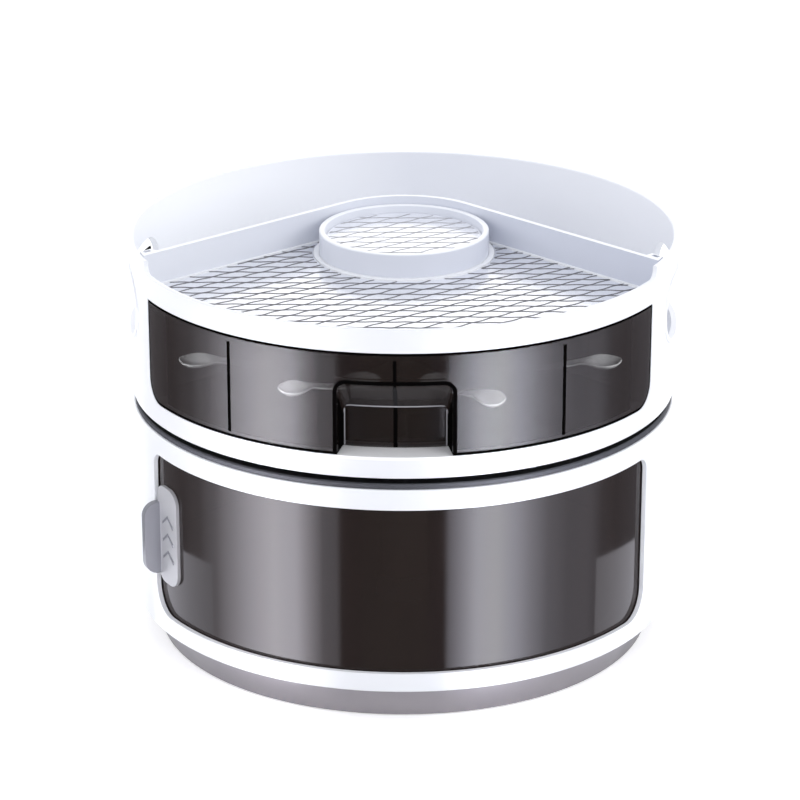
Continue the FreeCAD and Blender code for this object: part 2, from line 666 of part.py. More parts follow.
spindle = new_body("spindle")
spindle_top = "pan_top + washer_lift"
spin(spindle, "spindle_pin", [[
    ("0", "foot_height"),
    ("spindle_radius - thread_gap", "foot_height"),
    ("spindle_radius - thread_gap", "base_top"),
    ("spindle_flange", "base_top"),
    ("spindle_flange", "base_top + flange_thickness"),
    ("spindle_radius", "base_top + flange_thickness"),
    ("spindle_radius", spindle_top),
    ("thick_screw + thread_gap", spindle_top),
    ("thick_screw + thread_gap", "base_top + flange_thickness"),
    ("0", "base_top + flange_thickness"),
]])

spindle_washer = new_body("spindle_washer")
spin(spindle_washer, "washer_ring", [rectangle(
    "thick_screw + seat_gap", "washer_radius", spindle_top, f"{spindle_top} + washer_thickness",
)])

spindle_screw = new_body("spindle_screw")
head_low = f"{spindle_top} + washer_thickness"
spin(spindle_screw, "spindle_screw_body", [[
    ("0", "base_top + flange_thickness + screw_tail"),
    ("thick_screw", "base_top + flange_thickness + screw_tail"),
    ("thick_screw", head_low),
    ("thick_head", head_low),
    ("thick_head", f"{head_low} + thick_head_height", "thick_head_height / 2"),
    ("0", f"{head_low} + thick_head_height"),
]])
sink(spindle_screw, "spindle_screw_cross", [cross("0", "0")], f"{head_low} + thick_head_height", "recess_depth")

# Lower tier: pan, casing, column and deck

lower_pan = new_body("lower_pan")
ledge_start = "casing_radius - ledge_inset"
slope_start = "casing_radius - slope_inset"
cheek = "groove_inner - groove_cheek"
spin(lower_pan, "pan_body", [[
    ("spindle_radius + bearing_gap", "pan_under - hub_depth"),
    ("hub_boss", "pan_under - hub_depth"),
    ("hub_boss", "pan_under"),
    (f"{slope_start} + pan_floor * 0.7", "pan_under", "2 * pan_floor"),
    (f"{ledge_start} + pan_floor * 0.7", "ledge_top - pan_floor", "pan_floor"),
    (cheek, "ledge_top - pan_floor"),
    (cheek, "rim_under"),
    ("pan_rim", "rim_under"),
    ("pan_rim", "ledge_top"),
    ("groove_outer", "ledge_top"),
    ("groove_outer", "groove_level"),
    ("groove_inner", "groove_level"),
    ("groove_inner", "ledge_top"),
    (ledge_start, "ledge_top", "2 * pan_floor"),
    (slope_start, "pan_top", "2 * pan_floor"),
    ("spindle_radius + bearing_gap", "pan_top"),
]])
bump_low = "rim_under + groove_floor * 0.8"
bump = spin(lower_pan, "snap_bump", [[
    ("pan_rim - overlap", bump_low),
    ("pan_rim", bump_low),
    ("pan_rim + bump_height", f"{bump_low} + bump_height"),
    ("pan_rim + bump_height", f"{bump_low} + 2 * bump_height"),
    ("pan_rim", f"{bump_low} + 3 * bump_height"),
    ("pan_rim - overlap", f"{bump_low} + 3 * bump_height"),
]], "bump_angle")
around(lower_pan, "snap_bumps", [bump], "bump_count")

lower_casing = new_body("lower_casing")
spin(lower_casing, "lower_shell", [[
    ("casing_inner", "lower_bottom"),
    ("casing_radius", "lower_bottom", "edge_round"),
    ("casing_radius", "lower_top", "edge_round"),
    ("casing_inner", "lower_top"),
]])
spin_cut(lower_casing, "snap_groove", [rectangle(
    "casing_inner - overcut", "casing_inner + bump_height",
    f"{bump_low} - seat_gap", f"{bump_low} + 3 * bump_height + seat_gap",
)])
spin_cut(lower_casing, "window", [rectangle(
    "casing_inner - overcut", "casing_radius + overcut", "window_bottom", "window_bottom + window_height",
)], "2 * window_angle")
for corner_name, corner_round, corner_level in (
    ("window_top_corners", "window_top_round", number("window_bottom + window_height")),
    ("window_foot_corners", "window_foot_round", number("window_bottom")),
):
    soften(lower_casing, corner_name, corner_round, lambda edge: radial_edge(
        edge, number("window_angle"), corner_level, number("casing_inner"), number("casing_radius")))

centre_column = new_body("centre_column")
spin(centre_column, "column_tube", [[
    ("column_radius - column_wall", "pan_top"),
    ("column_radius + collar_width", "pan_top"),
    ("column_radius + collar_width / 2", "pan_top + collar_height", "collar_width / 4"),
    ("column_radius", "pan_top + collar_height"),
    ("column_radius", "deck_under"),
    ("column_radius - column_wall", "deck_under"),
]])

tier_deck = new_body("tier_deck")
leg_inner = "groove_inner - groove_cheek"
spin(tier_deck, "deck_body", [[
    ("spigot_radius + bearing_gap", "collar_bottom"),
    ("column_radius - column_wall - seat_gap", "collar_bottom"),
    ("column_radius - column_wall - seat_gap", "deck_under"),
    (leg_inner, "deck_under"),
    (leg_inner, "track_bottom"),
    ("groove_inner", "track_bottom"),
    ("groove_inner", "deck_top"),
    ("spigot_radius + bearing_gap", "deck_top"),
]])
seat_cut = sink(
    tier_deck, "glide_seat_cut", [("circle", "0", "-glide_ring", "glide_radius + seat_gap")],
    "deck_top", "glide_seat",
)
around(tier_deck, "glide_seats", [seat_cut], "glide_count")
ring_hole_across, ring_hole_up = ring_place("ring_screw_ring", "screw_azimuth")
deck_hole = sink(
    tier_deck, "ring_screw_hole", [("circle", ring_hole_across, ring_hole_up, "screw_radius + thread_gap")],
    "deck_top", "deck_plate",
)
around(tier_deck, "ring_screw_holes", [deck_hole], "ring_screw_count")

tier_ring = new_body("tier_ring")
flange_low = "deck_top + rest_gap"
spin(tier_ring, "ring_body", [[
    ("groove_inner - ring_flange", flange_low),
    ("groove_inner + 2 * rest_gap", flange_low),
    ("groove_inner + 2 * rest_gap", "lower_top + 2 * rest_gap"),
    ("groove_outer", "lower_top + 2 * rest_gap"),
    ("groove_outer", "track_bottom"),
    ("pan_rim", "track_bottom"),
    ("pan_rim", "lower_top + 2 * rest_gap"),
    ("ring_radius", "lower_top + 2 * rest_gap", "edge_round / 2"),
    ("ring_radius", "ring_top", "edge_round"),
    ("groove_inner - ring_flange", "ring_top"),
]])
ring_hole = sink(
    tier_ring, "ring_hole", [("circle", ring_hole_across, ring_hole_up, "head_radius + seat_gap")],
    "ring_top", "seam_ring",
)
around(tier_ring, "ring_holes", [ring_hole], "ring_screw_count")

ring_screws = new_body("ring_screws")
ring_shank = pad(
    ring_screws, "ring_shank", [("circle", ring_hole_across, ring_hole_up, "screw_radius")],
    "deck_under", "deck_plate",
)
ring_head = pad(
    ring_screws, "ring_head", [("circle", ring_hole_across, ring_hole_up, "head_radius")],
    "deck_top", "head_height",
)
ring_cross = sink(
    ring_screws, "ring_cross", [cross(ring_hole_across, ring_hole_up)],
    "deck_top + head_height", "recess_depth",
)
around(ring_screws, "ring_screw_set", [ring_shank, ring_head, ring_cross], "ring_screw_count")

tier_glides = new_body("tier_glides")
glide_low = "deck_top - glide_seat"
glide_pad = spin(tier_glides, "glide_pad", [rectangle(
    "glide_ring - glide_radius * 0.7", "glide_ring + glide_radius * 0.7", glide_low, "floor_under - track_gap",
)], "1.3 * glide_radius / glide_ring * 180 / pi")
around(tier_glides, "glide_pads", [glide_pad], "glide_count")

# Rotary door with its handle

rotary_door = new_body("rotary_door")
spin(rotary_door, "door_shell", [[
    ("door_inner", "door_bottom"),
    ("door_outer", "door_bottom"),
    ("door_outer", "swell_bottom"),
    ("door_face", "swell_bottom + door_swell"),
    ("door_face", "swell_top - door_swell"),
    ("door_outer", "swell_top"),
    ("door_outer", "door_top", "door_wall / 4"),
    ("door_inner", "door_top", "door_wall / 4"),
]], "2 * door_angle")
handle_screw_levels = ("fin_foot + fin_height / 5", "fin_foot + fin_height * 4 / 5")
sink(rotary_door, "handle_screw_holes", [
    ("circle", "0", level, "screw_radius + thread_gap") for level in handle_screw_levels
], "door_face + overcut", "door_wall + door_swell + 2 * overcut", "XZ_Plane", "-fin_azimuth")
for side_name, shoe_turn in (("left", "-shoe_azimuth"), ("middle", "0"), ("right", "shoe_azimuth")):
    spin_cut(rotary_door, f"{side_name}_shoe_notch", [rectangle(
        "door_inner - overcut", "door_outer + overcut", "door_bottom - overcut", "door_bottom + shoe_height",
    )], "shoe_angle", shoe_turn)

door_glides = new_body("door_glides")
for side_name, shoe_turn in (("left", "-shoe_azimuth"), ("middle", "0"), ("right", "shoe_azimuth")):
    spin(door_glides, f"{side_name}_shoe", [rectangle(
        "door_inner", "door_outer", "groove_level + slide_gap", "door_bottom + shoe_height - rest_gap",
    )], "shoe_angle - 2 * rest_gap", shoe_turn)

door_handle = new_body("door_handle")
spin(door_handle, "handle_body", [rectangle(
    "handle_inner", "handle_outer", "handle_foot", "handle_foot + handle_height",
)], "handle_angle", "-handle_azimuth")
doc.recompute()
handle_edges = [number("handle_azimuth - handle_angle / 2"), number("handle_azimuth + handle_angle / 2")]
handle_levels = [number("handle_foot"), number("handle_foot + handle_height")]
soften(door_handle, "handle_corners", "handle_round", lambda edge: any(
    radial_edge(edge, angle, level, number("handle_inner"), number("handle_outer"))
    for angle in handle_edges for level in handle_levels))
spin(door_handle, "finger_fin", [[
    ("handle_inner", "fin_foot"),
    ("handle_outer + fin_depth", "fin_foot", "fin_round"),
    ("handle_outer + fin_depth", "fin_foot + fin_height", "fin_round"),
    ("handle_inner", "fin_foot + fin_height"),
]], "fin_angle", "-fin_azimuth")
handle_middle = "(handle_foot + handle_height / 2)"
chevrons = []
for step in (-1, 0, 1):
    low = f"{handle_middle} + {step} * chevron_pitch - chevron_rise / 2"
    chevrons.append([
        ("chevron_shift - chevron_width / 2", low),
        ("chevron_shift", f"{low} + chevron_rise"),
        ("chevron_shift + chevron_width / 2", low),
        ("chevron_shift + chevron_width / 2", f"{low} - chevron_stroke"),
        ("chevron_shift", f"{low} + chevron_rise - chevron_stroke"),
        ("chevron_shift - chevron_width / 2", f"{low} - chevron_stroke"),
    ])
pad(
    door_handle, "grip_chevrons", chevrons, "handle_outer - handle_plate / 2",
    "handle_plate / 2 + chevron_relief", "XZ_Plane", "-handle_azimuth",
)
sink(door_handle, "handle_pilots", [
    ("circle", "0", level, "screw_radius + thread_gap - overlap") for level in handle_screw_levels
], "handle_inner + fin_depth * 0.8", "fin_depth", "XZ_Plane", "-fin_azimuth")

handle_screws = new_body("handle_screws")
pad(handle_screws, "handle_shanks", [
    ("circle", "0", level, "screw_radius - overlap") for level in handle_screw_levels
], "door_inner", "door_wall + door_swell + fin_depth * 0.7", "XZ_Plane", "-fin_azimuth")
pad(handle_screws, "handle_heads", [
    ("circle", "0", level, "head_radius") for level in handle_screw_levels
], "door_inner - head_height - seat_gap", "head_height", "XZ_Plane", "-fin_azimuth")
pad(handle_screws, "handle_necks", [
    ("circle", "0", level, "screw_radius - overlap") for level in handle_screw_levels
], "door_inner - overlap", "2 * overlap", "XZ_Plane", "-fin_azimuth")

# Upper tier: floor, casing, partition and tray

upper_floor = new_body("upper_floor")
screw_across, screw_up = ring_place("boss_ring", "screw_azimuth")
spin(upper_floor, "floor_body", [[
    ("screw_radius + seat_gap", "floor_under"),
    ("spigot_radius - spigot_wall", "floor_under"),
    ("spigot_radius - spigot_wall", "spigot_bottom"),
    ("spigot_radius", "spigot_bottom"),
    ("spigot_radius", "floor_under"),
    ("pan_rim", "floor_under"),
    ("pan_rim", "floor_top"),
    ("screw_radius + seat_gap", "floor_top"),
]])
floor_hole = sink(
    upper_floor, "casing_screw_hole", [("circle", screw_across, screw_up, "screw_radius + thread_gap")],
    "floor_top", "floor_plate",
)
head_seat = sink(
    upper_floor, "casing_head_seat", [("circle", screw_across, screw_up, "head_radius + seat_gap")],
    "floor_under + head_height", "head_height",
)
around(upper_floor, "casing_screw_holes", [floor_hole, head_seat], "boss_count")

casing_screws = new_body("casing_screws")
casing_head = pad(
    casing_screws, "casing_head", [("circle", screw_across, screw_up, "head_radius")],
    "floor_under", "head_height",
)
casing_shank = pad(
    casing_screws, "casing_shank", [("circle", screw_across, screw_up, "screw_radius")],
    "floor_under + head_height", "floor_plate + sill_plate",
)
around(casing_screws, "casing_screw_set", [casing_head, casing_shank], "boss_count")

upper_casing = new_body("upper_casing")
grip_high = "grip_low + grip_height"
grip_outline = [
    (y, z, "grip_height / 2 - rest_gap") for y, z in rectangle(
        "-grip_length / 2", "grip_length / 2", "grip_low", grip_high)
]
grip_outer = [
    (y, z, "grip_height / 2 + grip_rim - rest_gap") for y, z in rectangle(
        "-grip_length / 2 - grip_rim", "grip_length / 2 + grip_rim",
        "grip_low - grip_rim", f"{grip_high} + grip_rim")
]
pad(
    upper_casing, "grip_rims", [grip_outer], "0", "3 * casing_radius", "YZ_Plane", both_ways=True,
)
spin_cut(upper_casing, "grip_rim_inside", [
    rectangle("0", "casing_inner", "upper_bottom", "upper_top"),
])
trim_outside(upper_casing, "grip_rim_outside", "casing_radius + grip_relief", "upper_bottom", "upper_top")
spin(upper_casing, "upper_shell", [[
    ("casing_inner", "upper_bottom"),
    ("casing_radius", "upper_bottom", "edge_round"),
    ("casing_radius", "upper_top", "edge_round"),
    ("casing_inner", "upper_top", "edge_round"),
]])
spin(upper_casing, "sill_flange", [rectangle(
    "sill_inner", "casing_inner + overlap", "boss_top", "sill_top",
)], "2 * opening_angle")
spin_cut(upper_casing, "front_lip", [rectangle(
    "casing_inner - overcut", "casing_radius + overcut", "lip_top", "upper_top + overcut",
)], "2 * lip_angle")
soften(upper_casing, "lip_fillets", "lip_round", lambda edge: radial_edge(
    edge, number("lip_angle"), number("lip_top"), number("casing_inner"), number("casing_radius")))
spin_cut(upper_casing, "drawer_opening", [rectangle(
    "casing_inner - overlap", "casing_radius + overcut", "sill_top", "opening_top",
)], "2 * opening_angle")
soften(upper_casing, "opening_corners", "opening_round", lambda edge: radial_edge(
    edge, number("opening_angle"), number("sill_top"), number("casing_inner"), number("casing_radius")))
sink(
    upper_casing, "hand_holds", [grip_outline], "0", "3 * casing_radius", "YZ_Plane", both_ways=True,
)
boss = pad(
    upper_casing, "screw_boss", [("circle", screw_across, screw_up, "boss_radius")],
    "floor_top + rest_gap", "boss_top - floor_top",
)
pilot = sink(
    upper_casing, "screw_pilot", [("circle", screw_across, screw_up, "screw_radius + thread_gap")],
    "boss_top - overcut", "boss_top - floor_top",
)
around(upper_casing, "screw_bosses", [boss, pilot], "boss_count")

bay_wall = new_body("bay_wall")
bay_outer = "bay_inner + bay_wall_plate"
pad(
    bay_wall, "partition", [vee_band("bay_inner", bay_outer)],
    "floor_top + rest_gap", "tray_under - floor_top - 2 * rest_gap",
)
post_distance = "bay_inner - screw_radius * 2"
post_places = [
    vee_place(post_distance, along, side)
    for side in (-1, 1) for along in ("bay_inner * 0.45", "bay_inner * 2")
]
pad(
    bay_wall, "tray_posts", [("circle", x, y, "2 * screw_radius + overlap") for x, y in post_places],
    "floor_top + rest_gap", "tray_under - floor_top - 2 * rest_gap",
)
sink(
    bay_wall, "tray_pilots", [("circle", x, y, "screw_radius + thread_gap") for x, y in post_places],
    "tray_under", "7 * screw_radius",
)
trim_outside(bay_wall, "partition_ends", "tray_edge", "floor_top - overcut", "upper_top")

wedge_tray = new_body("wedge_tray")
wall_far = "bay_inner + tray_wall"
pad(wedge_tray, "tray_plate_body", [vee_area(wall_far)], "tray_under", "tray_plate")
pad(wedge_tray, "tray_wall_body", [vee_band("bay_inner", wall_far)], "tray_under", "upper_top - tray_under")
pad(wedge_tray, "mat_beads", [
    vee_patch("bay_inner - bead_width", "bay_inner + overlap", "bay_inner * 0.3", "wall_reach", side)
    for side in (-1, 1)
], "tray_top - overlap", "bead_height + overlap")
pad(wedge_tray, "dish_bead", [
    ("circle", "0", "dish_center", "bay_inner + seat_bead"),
    ("circle", "0", "dish_center", "bay_inner"),
], "tray_top - overlap", "bead_height + overlap")
pad(wedge_tray, "corner_clips", [
    vee_patch(f"{wall_far} - overlap", f"{wall_far} + clip_depth", "clip_start", "wall_reach", side)
    for side in (-1, 1)
], "tray_under", "upper_top - tray_under")
trim_outside(wedge_tray, "tray_trim", "tray_edge", "tray_under - overcut", "upper_top + overcut")
sink(wedge_tray, "clip_slots", [
    vee_patch(
        f"{wall_far} + slot_cheek", f"{wall_far} + slot_cheek + slot_width",
        "slot_start", "slot_start + slot_length", side)
    for side in (-1, 1)
], "upper_top", "upper_top - tray_top")
sink(
    wedge_tray, "tray_screw_holes", [("circle", x, y, "screw_radius + thread_gap") for x, y in post_places],
    "tray_top + overcut", "tray_plate + 2 * overcut",
)
sink(
    wedge_tray, "tray_head_seats", [("circle", x, y, "head_radius + seat_gap") for x, y in post_places],
    "tray_top", "head_height",
)

tray_screws = new_body("tray_screws")
pad(
    tray_screws, "tray_shanks", [("circle", x, y, "screw_radius") for x, y in post_places],
    "tray_under - 6 * screw_radius", "6 * screw_radius + tray_plate - head_height",
)
pad(
    tray_screws, "tray_heads", [("circle", x, y, "head_radius") for x, y in post_places],
    "tray_top - head_height", "head_height",
)
sink(tray_screws, "tray_crosses", [cross(x, y) for x, y in post_places], "tray_top", "recess_depth")

tray_mat = new_body("tray_mat")
pad(tray_mat, "tray_mat_sheet", [vee_area("bay_inner - bead_width - mat_gap")], "tray_top", "mat_thickness")
sink(
    tray_mat, "tray_mat_hole", [("circle", "0", "dish_center", "bay_inner + seat_bead + mat_gap")],
    "tray_top + overcut", "mat_thickness + 2 * overcut",
)
trim_outside(tray_mat, "tray_mat_edge", "tray_edge - mat_gap", "tray_top - overcut", "tray_top + mat_thickness + overcut")

round_dish = new_body("round_dish")
skirt_in = "dish_radius - dish_wall"
spin(round_dish, "dish_body", [[
    ("0", "dish_floor_top - dish_floor"),
    (skirt_in, "dish_floor_top - dish_floor", "dish_floor / 2"),
    (skirt_in, "tray_top + rest_gap"),
    ("dish_radius", "tray_top + rest_gap"),
    ("dish_radius", "dish_top", "edge_round"),
    ("dish_radius - dish_rim + dish_draft", "dish_top", "edge_round"),
    ("dish_radius - dish_rim", "dish_floor_top"),
    ("0", "dish_floor_top"),
]])
round_dish.setExpression("Placement.Base.y", formula("dish_center"))

dish_mat = new_body("dish_mat")
spin(dish_mat, "dish_mat_sheet", [rectangle(
    "0", "dish_radius - dish_rim - mat_gap", "dish_floor_top", "dish_mat_top",
)])
dish_mat.setExpression("Placement.Base.y", formula("dish_center"))

hub_keeper = new_body("hub_keeper")
spin(hub_keeper, "keeper_body", [[
    ("screw_radius + thread_gap", "keeper_top - keeper_plate"),
    ("keeper_radius", "keeper_top - keeper_plate", "keeper_plate / 4"),
    ("keeper_radius", "keeper_top"),
    ("spigot_radius - spigot_wall - seat_gap", "keeper_top"),
    ("spigot_radius - spigot_wall - seat_gap", "floor_under"),
    ("screw_radius + thread_gap", "floor_under"),
]])

hub_screw = new_body("hub_screw")
spin(hub_screw, "hub_screw_body", [[
    ("0", "keeper_top"),
    ("screw_radius", "keeper_top"),
    ("screw_radius", "floor_top"),
    ("thick_head", "floor_top"),
    ("thick_head", "floor_top + thick_head_height", "thick_head_height / 2"),
    ("0", "floor_top + thick_head_height"),
]])
sink(hub_screw, "hub_screw_cross", [cross("0", "0")], "floor_top + thick_head_height", "recess_depth")

# Drawer with its rails, dividers and spoons

drawer_rails = new_body("drawer_rails")
rails = []
for side in (-1, 1):
    half_outline = [
        ("rail_foot_half", "floor_top"), ("rail_foot_half", "floor_top + rail_foot"),
        ("rail_web_half", "floor_top + rail_foot"), ("rail_web_half", "rail_top - rail_head"),
        ("rail_head_half", "rail_top - rail_head"), ("rail_head_half", "rail_top"),
    ]
    right = [(f"{side} * rail_offset + {x}", z) for x, z in half_outline]
    left = [(f"{side} * rail_offset - ({x})", z) for x, z in reversed(half_outline)]
    rails.append(right + left)
pad(drawer_rails, "rail_bars", rails, "-rail_back", "rail_front + rail_back", "XZ_Plane")

drawer_clips = new_body("drawer_clips")
clips = []
lip_low = "rail_top - rail_head - slide_gap - clip_lip"
for side in (-1, 1):
    half_outline = [
        ("clip_half", "drawer_bottom"), ("clip_half", lip_low),
        ("rail_web_half + slide_gap", lip_low), ("rail_web_half + slide_gap", f"{lip_low} + clip_lip"),
        ("rail_head_half + slide_gap", f"{lip_low} + clip_lip"),
        ("rail_head_half + slide_gap", "drawer_bottom - clip_bridge"),
    ]
    right = [(f"{side} * rail_offset + {x}", z) for x, z in half_outline]
    left = [(f"{side} * rail_offset - ({x})", z) for x, z in reversed(half_outline)]
    clips.append(right + left)
pad(drawer_clips, "clip_bars", clips, "-clip_back", "clip_front + clip_back", "XZ_Plane")

drawer_tray = new_body("drawer_tray")
spin(drawer_tray, "front_panel", [[
    ("panel_inner", "drawer_bottom"),
    ("casing_radius", "drawer_bottom"),
    ("casing_radius", "panel_top"),
    ("panel_inner", "panel_top"),
]], "2 * panel_angle")
soften(drawer_tray, "panel_corners", "opening_round - front_play", lambda edge: radial_edge(
    edge, number("panel_angle"), number("drawer_bottom"), number("panel_inner"), number("casing_radius")))


def drawer_path(half, distance):
    """Plan of one face of the drawer's box from its left front end round to its right front end."""
    shoulder = f"dish_center + ({distance}) / cos(bay_slope) - ({half}) * tan(bay_slope)"
    return [
        (f"-({half})", "-wall_reach"), (f"-({half})", shoulder), vee_apex(distance),
        (half, shoulder), (half, "-wall_reach"),
    ]


box_outside = drawer_path("drawer_half", "drawer_inner")
box_inside = drawer_path("drawer_half - drawer_wall", "drawer_inner - drawer_wall")
pad(drawer_tray, "drawer_sides", [box_outside + box_inside[::-1]], "drawer_bottom", "drawer_height")
pad(drawer_tray, "drawer_base", [box_outside], "drawer_bottom", "drawer_floor")
trim_outside(drawer_tray, "drawer_front_trim", "casing_radius", "drawer_bottom - overcut", "opening_top")
notch_sweep = "2 * notch_angle"
spin(drawer_tray, "notch_block", [[
    ("notch_panel - notch_wall", "drawer_bottom"),
    ("notch_panel - notch_wall", "drawer_bottom + notch_back + notch_wall"),
    ("panel_inner - notch_wall", "notch_level + notch_wall"),
    ("panel_inner + overlap", "notch_level + notch_wall"),
    ("panel_inner + overlap", "drawer_bottom"),
]], f"{notch_sweep} + 2 * notch_wall / casing_radius * 180 / pi")
spin_cut(drawer_tray, "notch_space", [[
    ("notch_panel", "drawer_bottom - overcut"),
    ("notch_panel", "drawer_bottom + notch_back"),
    ("casing_radius", "notch_level"),
    ("casing_radius + overcut", "notch_level"),
    ("casing_radius + overcut", "drawer_bottom - overcut"),
]], notch_sweep)
doc.recompute()


def notch_corner(edge):
    """The two sloping edges where the recess's ceiling meets its sides."""
    if len(edge.Vertexes) != 2:
        return False
    low, high = sorted((v.Point for v in edge.Vertexes), key=lambda p: p.z)
    return (
        abs(low.z - number("drawer_bottom + notch_back")) < 0.05
        and abs(high.z - number("notch_level")) < 0.05
        and abs(abs(azimuth(high)) - number("notch_angle")) < 0.05
        and math.hypot(high.x, high.y) > number("panel_inner")
    )


soften(drawer_tray, "notch_corners", "notch_round", notch_corner)

for divider_name, divider_turn, outer_end, inner_end in (
    ("divider_left", "-divider_angle", "panel_inner - divider_gap", "divider_meet"),
    ("divider_centre", "0", "notch_panel - notch_wall - divider_gap",
     "-(dish_center + drawer_inner - drawer_wall - divider_gap)"),
    ("divider_right", "divider_angle", "panel_inner - divider_gap", "divider_meet"),
):
    divider = new_body(divider_name)
    pad(divider, f"{divider_name}_plate", [[
        (f"-({outer_end})", "drawer_floor_top + rest_gap"),
        (f"-({inner_end})", "drawer_floor_top + rest_gap"),
        (f"-({inner_end})", "drawer_floor_top + divider_height", "divider_plate * 2"),
        (f"-({outer_end})", "drawer_floor_top + divider_height", "divider_plate * 2"),
    ]], "0", "divider_plate", "YZ_Plane", divider_turn, both_ways=True)


def make_spoon(name, side, row):
    """One spoon, drawn with its bowl at the origin and its handle towards -Y, then placed by its tip."""
    turn = f"{row}_spoon_turn"
    across = f"{row}_tip * sin({row}_tip_azimuth) - spoon_reach * sin({turn})"
    forward = f"{row}_tip * cos({row}_tip_azimuth) - spoon_reach * cos({turn})"
    spoon = new_body(name)
    pad(spoon, f"{name}_handle", [[
        ("-bowl_radius * 0.9", "bowl_depth - spoon_wall"),
        ("-bowl_radius * 0.9", "bowl_depth"),
        ("-leaf_start", "leaf_rise + spoon_wall", "spoon_wall * 6"),
        ("-spoon_reach", "spoon_rise + spoon_wall"),
        ("-spoon_reach", "spoon_rise"),
        ("-leaf_start", "leaf_rise", "spoon_wall * 7"),
    ]], "0", "spoon_leaf", "YZ_Plane", both_ways=True)
    for hand in (-1, 1):
        sink(spoon, f"{name}_side_{'left' if hand < 0 else 'right'}", [[
            (f"{hand} * spoon_neck / 2", "bowl_radius"),
            (f"{hand} * spoon_neck / 2", "-leaf_start + 2 * spoon_wall", "spoon_leaf * 2"),
            (f"{hand} * spoon_leaf / 2", "-(leaf_start + spoon_reach) / 2", "spoon_leaf"),
            (f"{hand} * spoon_neck / 6", "-spoon_reach - overlap"),
            (f"{hand} * spoon_leaf", "-spoon_reach - overcut"),
            (f"{hand} * spoon_leaf", "bowl_radius"),
        ]], "2 * spoon_rise", "4 * spoon_rise")
    spin(spoon, f"{name}_bowl", [[
        ("0", "0"),
        ("bowl_base", "0", "bowl_base * 0.8"),
        ("bowl_radius", "bowl_depth"),
        ("bowl_radius - spoon_wall", "bowl_depth"),
        ("bowl_base - spoon_wall / 2", "spoon_wall", "bowl_base * 0.7"),
        ("0", "spoon_wall"),
    ]])
    axis = FreeCAD.Vector(0, 0, side)
    spoon.Placement = FreeCAD.Placement(FreeCAD.Vector(), FreeCAD.Rotation(axis, number(turn)))
    spoon.setExpression("Placement.Rotation.Angle", formula(turn))
    spoon.setExpression("Placement.Base.x", formula(signed(side, across)))
    spoon.setExpression("Placement.Base.y", formula(f"-({forward})"))
    spoon.setExpression("Placement.Base.z", formula("drawer_floor_top + rest_gap"))
    return spoon


make_spoon("spoon_outer_left", -1, "outer")
make_spoon("spoon_inner_left", -1, "inner")
make_spoon("spoon_inner_right", 1, "inner")
make_spoon("spoon_outer_right", 1, "outer")

# Check every feature, then write one file for each node

doc.recompute()
nodes = [thing for thing in doc.Objects if thing.TypeId == "PartDesign::Body"]
for thing in doc.Objects:
    if any(mark in thing.State for mark in ("Invalid", "Error")):
        raise RuntimeError(f"{thing.Name} did not build: {thing.State}")
os.makedirs("parts", exist_ok=True)
for node in nodes:
    if node.Shape.isNull() or not node.Shape.isValid():
        raise RuntimeError(f"{node.Label} has no valid shape")
    node.Shape.exportStep(f"parts/{node.Label}.step")
    box = node.Shape.BoundBox
    print(
        f"{node.Label:20s} solids {len(node.Shape.Solids):3d} volume {node.Shape.Volume:10.0f}"
        f"  x {box.XMin:7.1f} {box.XMax:6.1f}  y {box.YMin:7.1f} {box.YMax:6.1f}"
        f"  z {box.ZMin:6.1f} {box.ZMax:6.1f}"
    )
print(len(nodes), "nodes written")
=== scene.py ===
# %% [markdown]
# A rotating kitchen organizer, dressed for a studio picture.
# The engineering model comes in first as a fixed frame. Its solids keep their places, and this
# script gives them their finishes, adds the fine mesh and the moulded spoons, and lights them.

# %% Load the frame
import math

import bmesh
import bpy
from mathutils import Matrix, Vector


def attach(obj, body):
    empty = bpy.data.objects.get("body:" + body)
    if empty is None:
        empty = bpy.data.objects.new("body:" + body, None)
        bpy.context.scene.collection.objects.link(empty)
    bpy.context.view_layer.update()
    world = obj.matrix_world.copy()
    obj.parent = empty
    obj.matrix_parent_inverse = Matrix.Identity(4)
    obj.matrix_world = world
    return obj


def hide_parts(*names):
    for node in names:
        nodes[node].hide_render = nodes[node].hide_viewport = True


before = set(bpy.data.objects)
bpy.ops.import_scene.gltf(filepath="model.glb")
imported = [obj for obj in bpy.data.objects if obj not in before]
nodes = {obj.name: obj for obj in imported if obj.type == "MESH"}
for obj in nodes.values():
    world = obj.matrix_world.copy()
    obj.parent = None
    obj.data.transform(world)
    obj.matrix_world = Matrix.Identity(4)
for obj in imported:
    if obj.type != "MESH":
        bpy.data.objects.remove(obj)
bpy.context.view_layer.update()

# %% [markdown]
# Blender works in metres and the object was drawn in millimetres, so one number converts them.
# The first helper places a point on the round body by its radius, its angle and its height. The
# second one puts a new object in the scene.

# %% Units and places
MM = 0.001
# Radii in millimetres: the casings' outside, the smoked fronts, the door, and beyond every part.
BODY, PANEL, DOOR, FAR = 155.0, 153.0, 151.0, 400.0
# How far the dish's middle lies behind the turning axis, in millimetres.
DISH_BACK = 12.0


def around(radius, angle, height=0.0):
    """A point in metres, from millimetres and degrees counted from the front towards the right."""
    turn = math.radians(angle)
    return Vector((radius * math.sin(turn), -radius * math.cos(turn), height)) * MM


def linked(name, data):
    """A new object in the scene, around mesh, lamp or camera data."""
    piece = bpy.data.objects.new(name, data)
    bpy.context.collection.objects.link(piece)
    return piece


print("front of the drawer is at", around(BODY, 0, 187))

# %% [markdown]
# The camera is a long lens a little above the rim. A long lens keeps the two tiers almost the
# same width from top to bottom, as in the picture. It is aimed by turning its -Z axis at a point.

# %% Camera
AIM = Vector((0, 0, 0.13218))
AWAY, LIFT, SIDE = 1.88549, math.radians(20.60), math.radians(1.7)

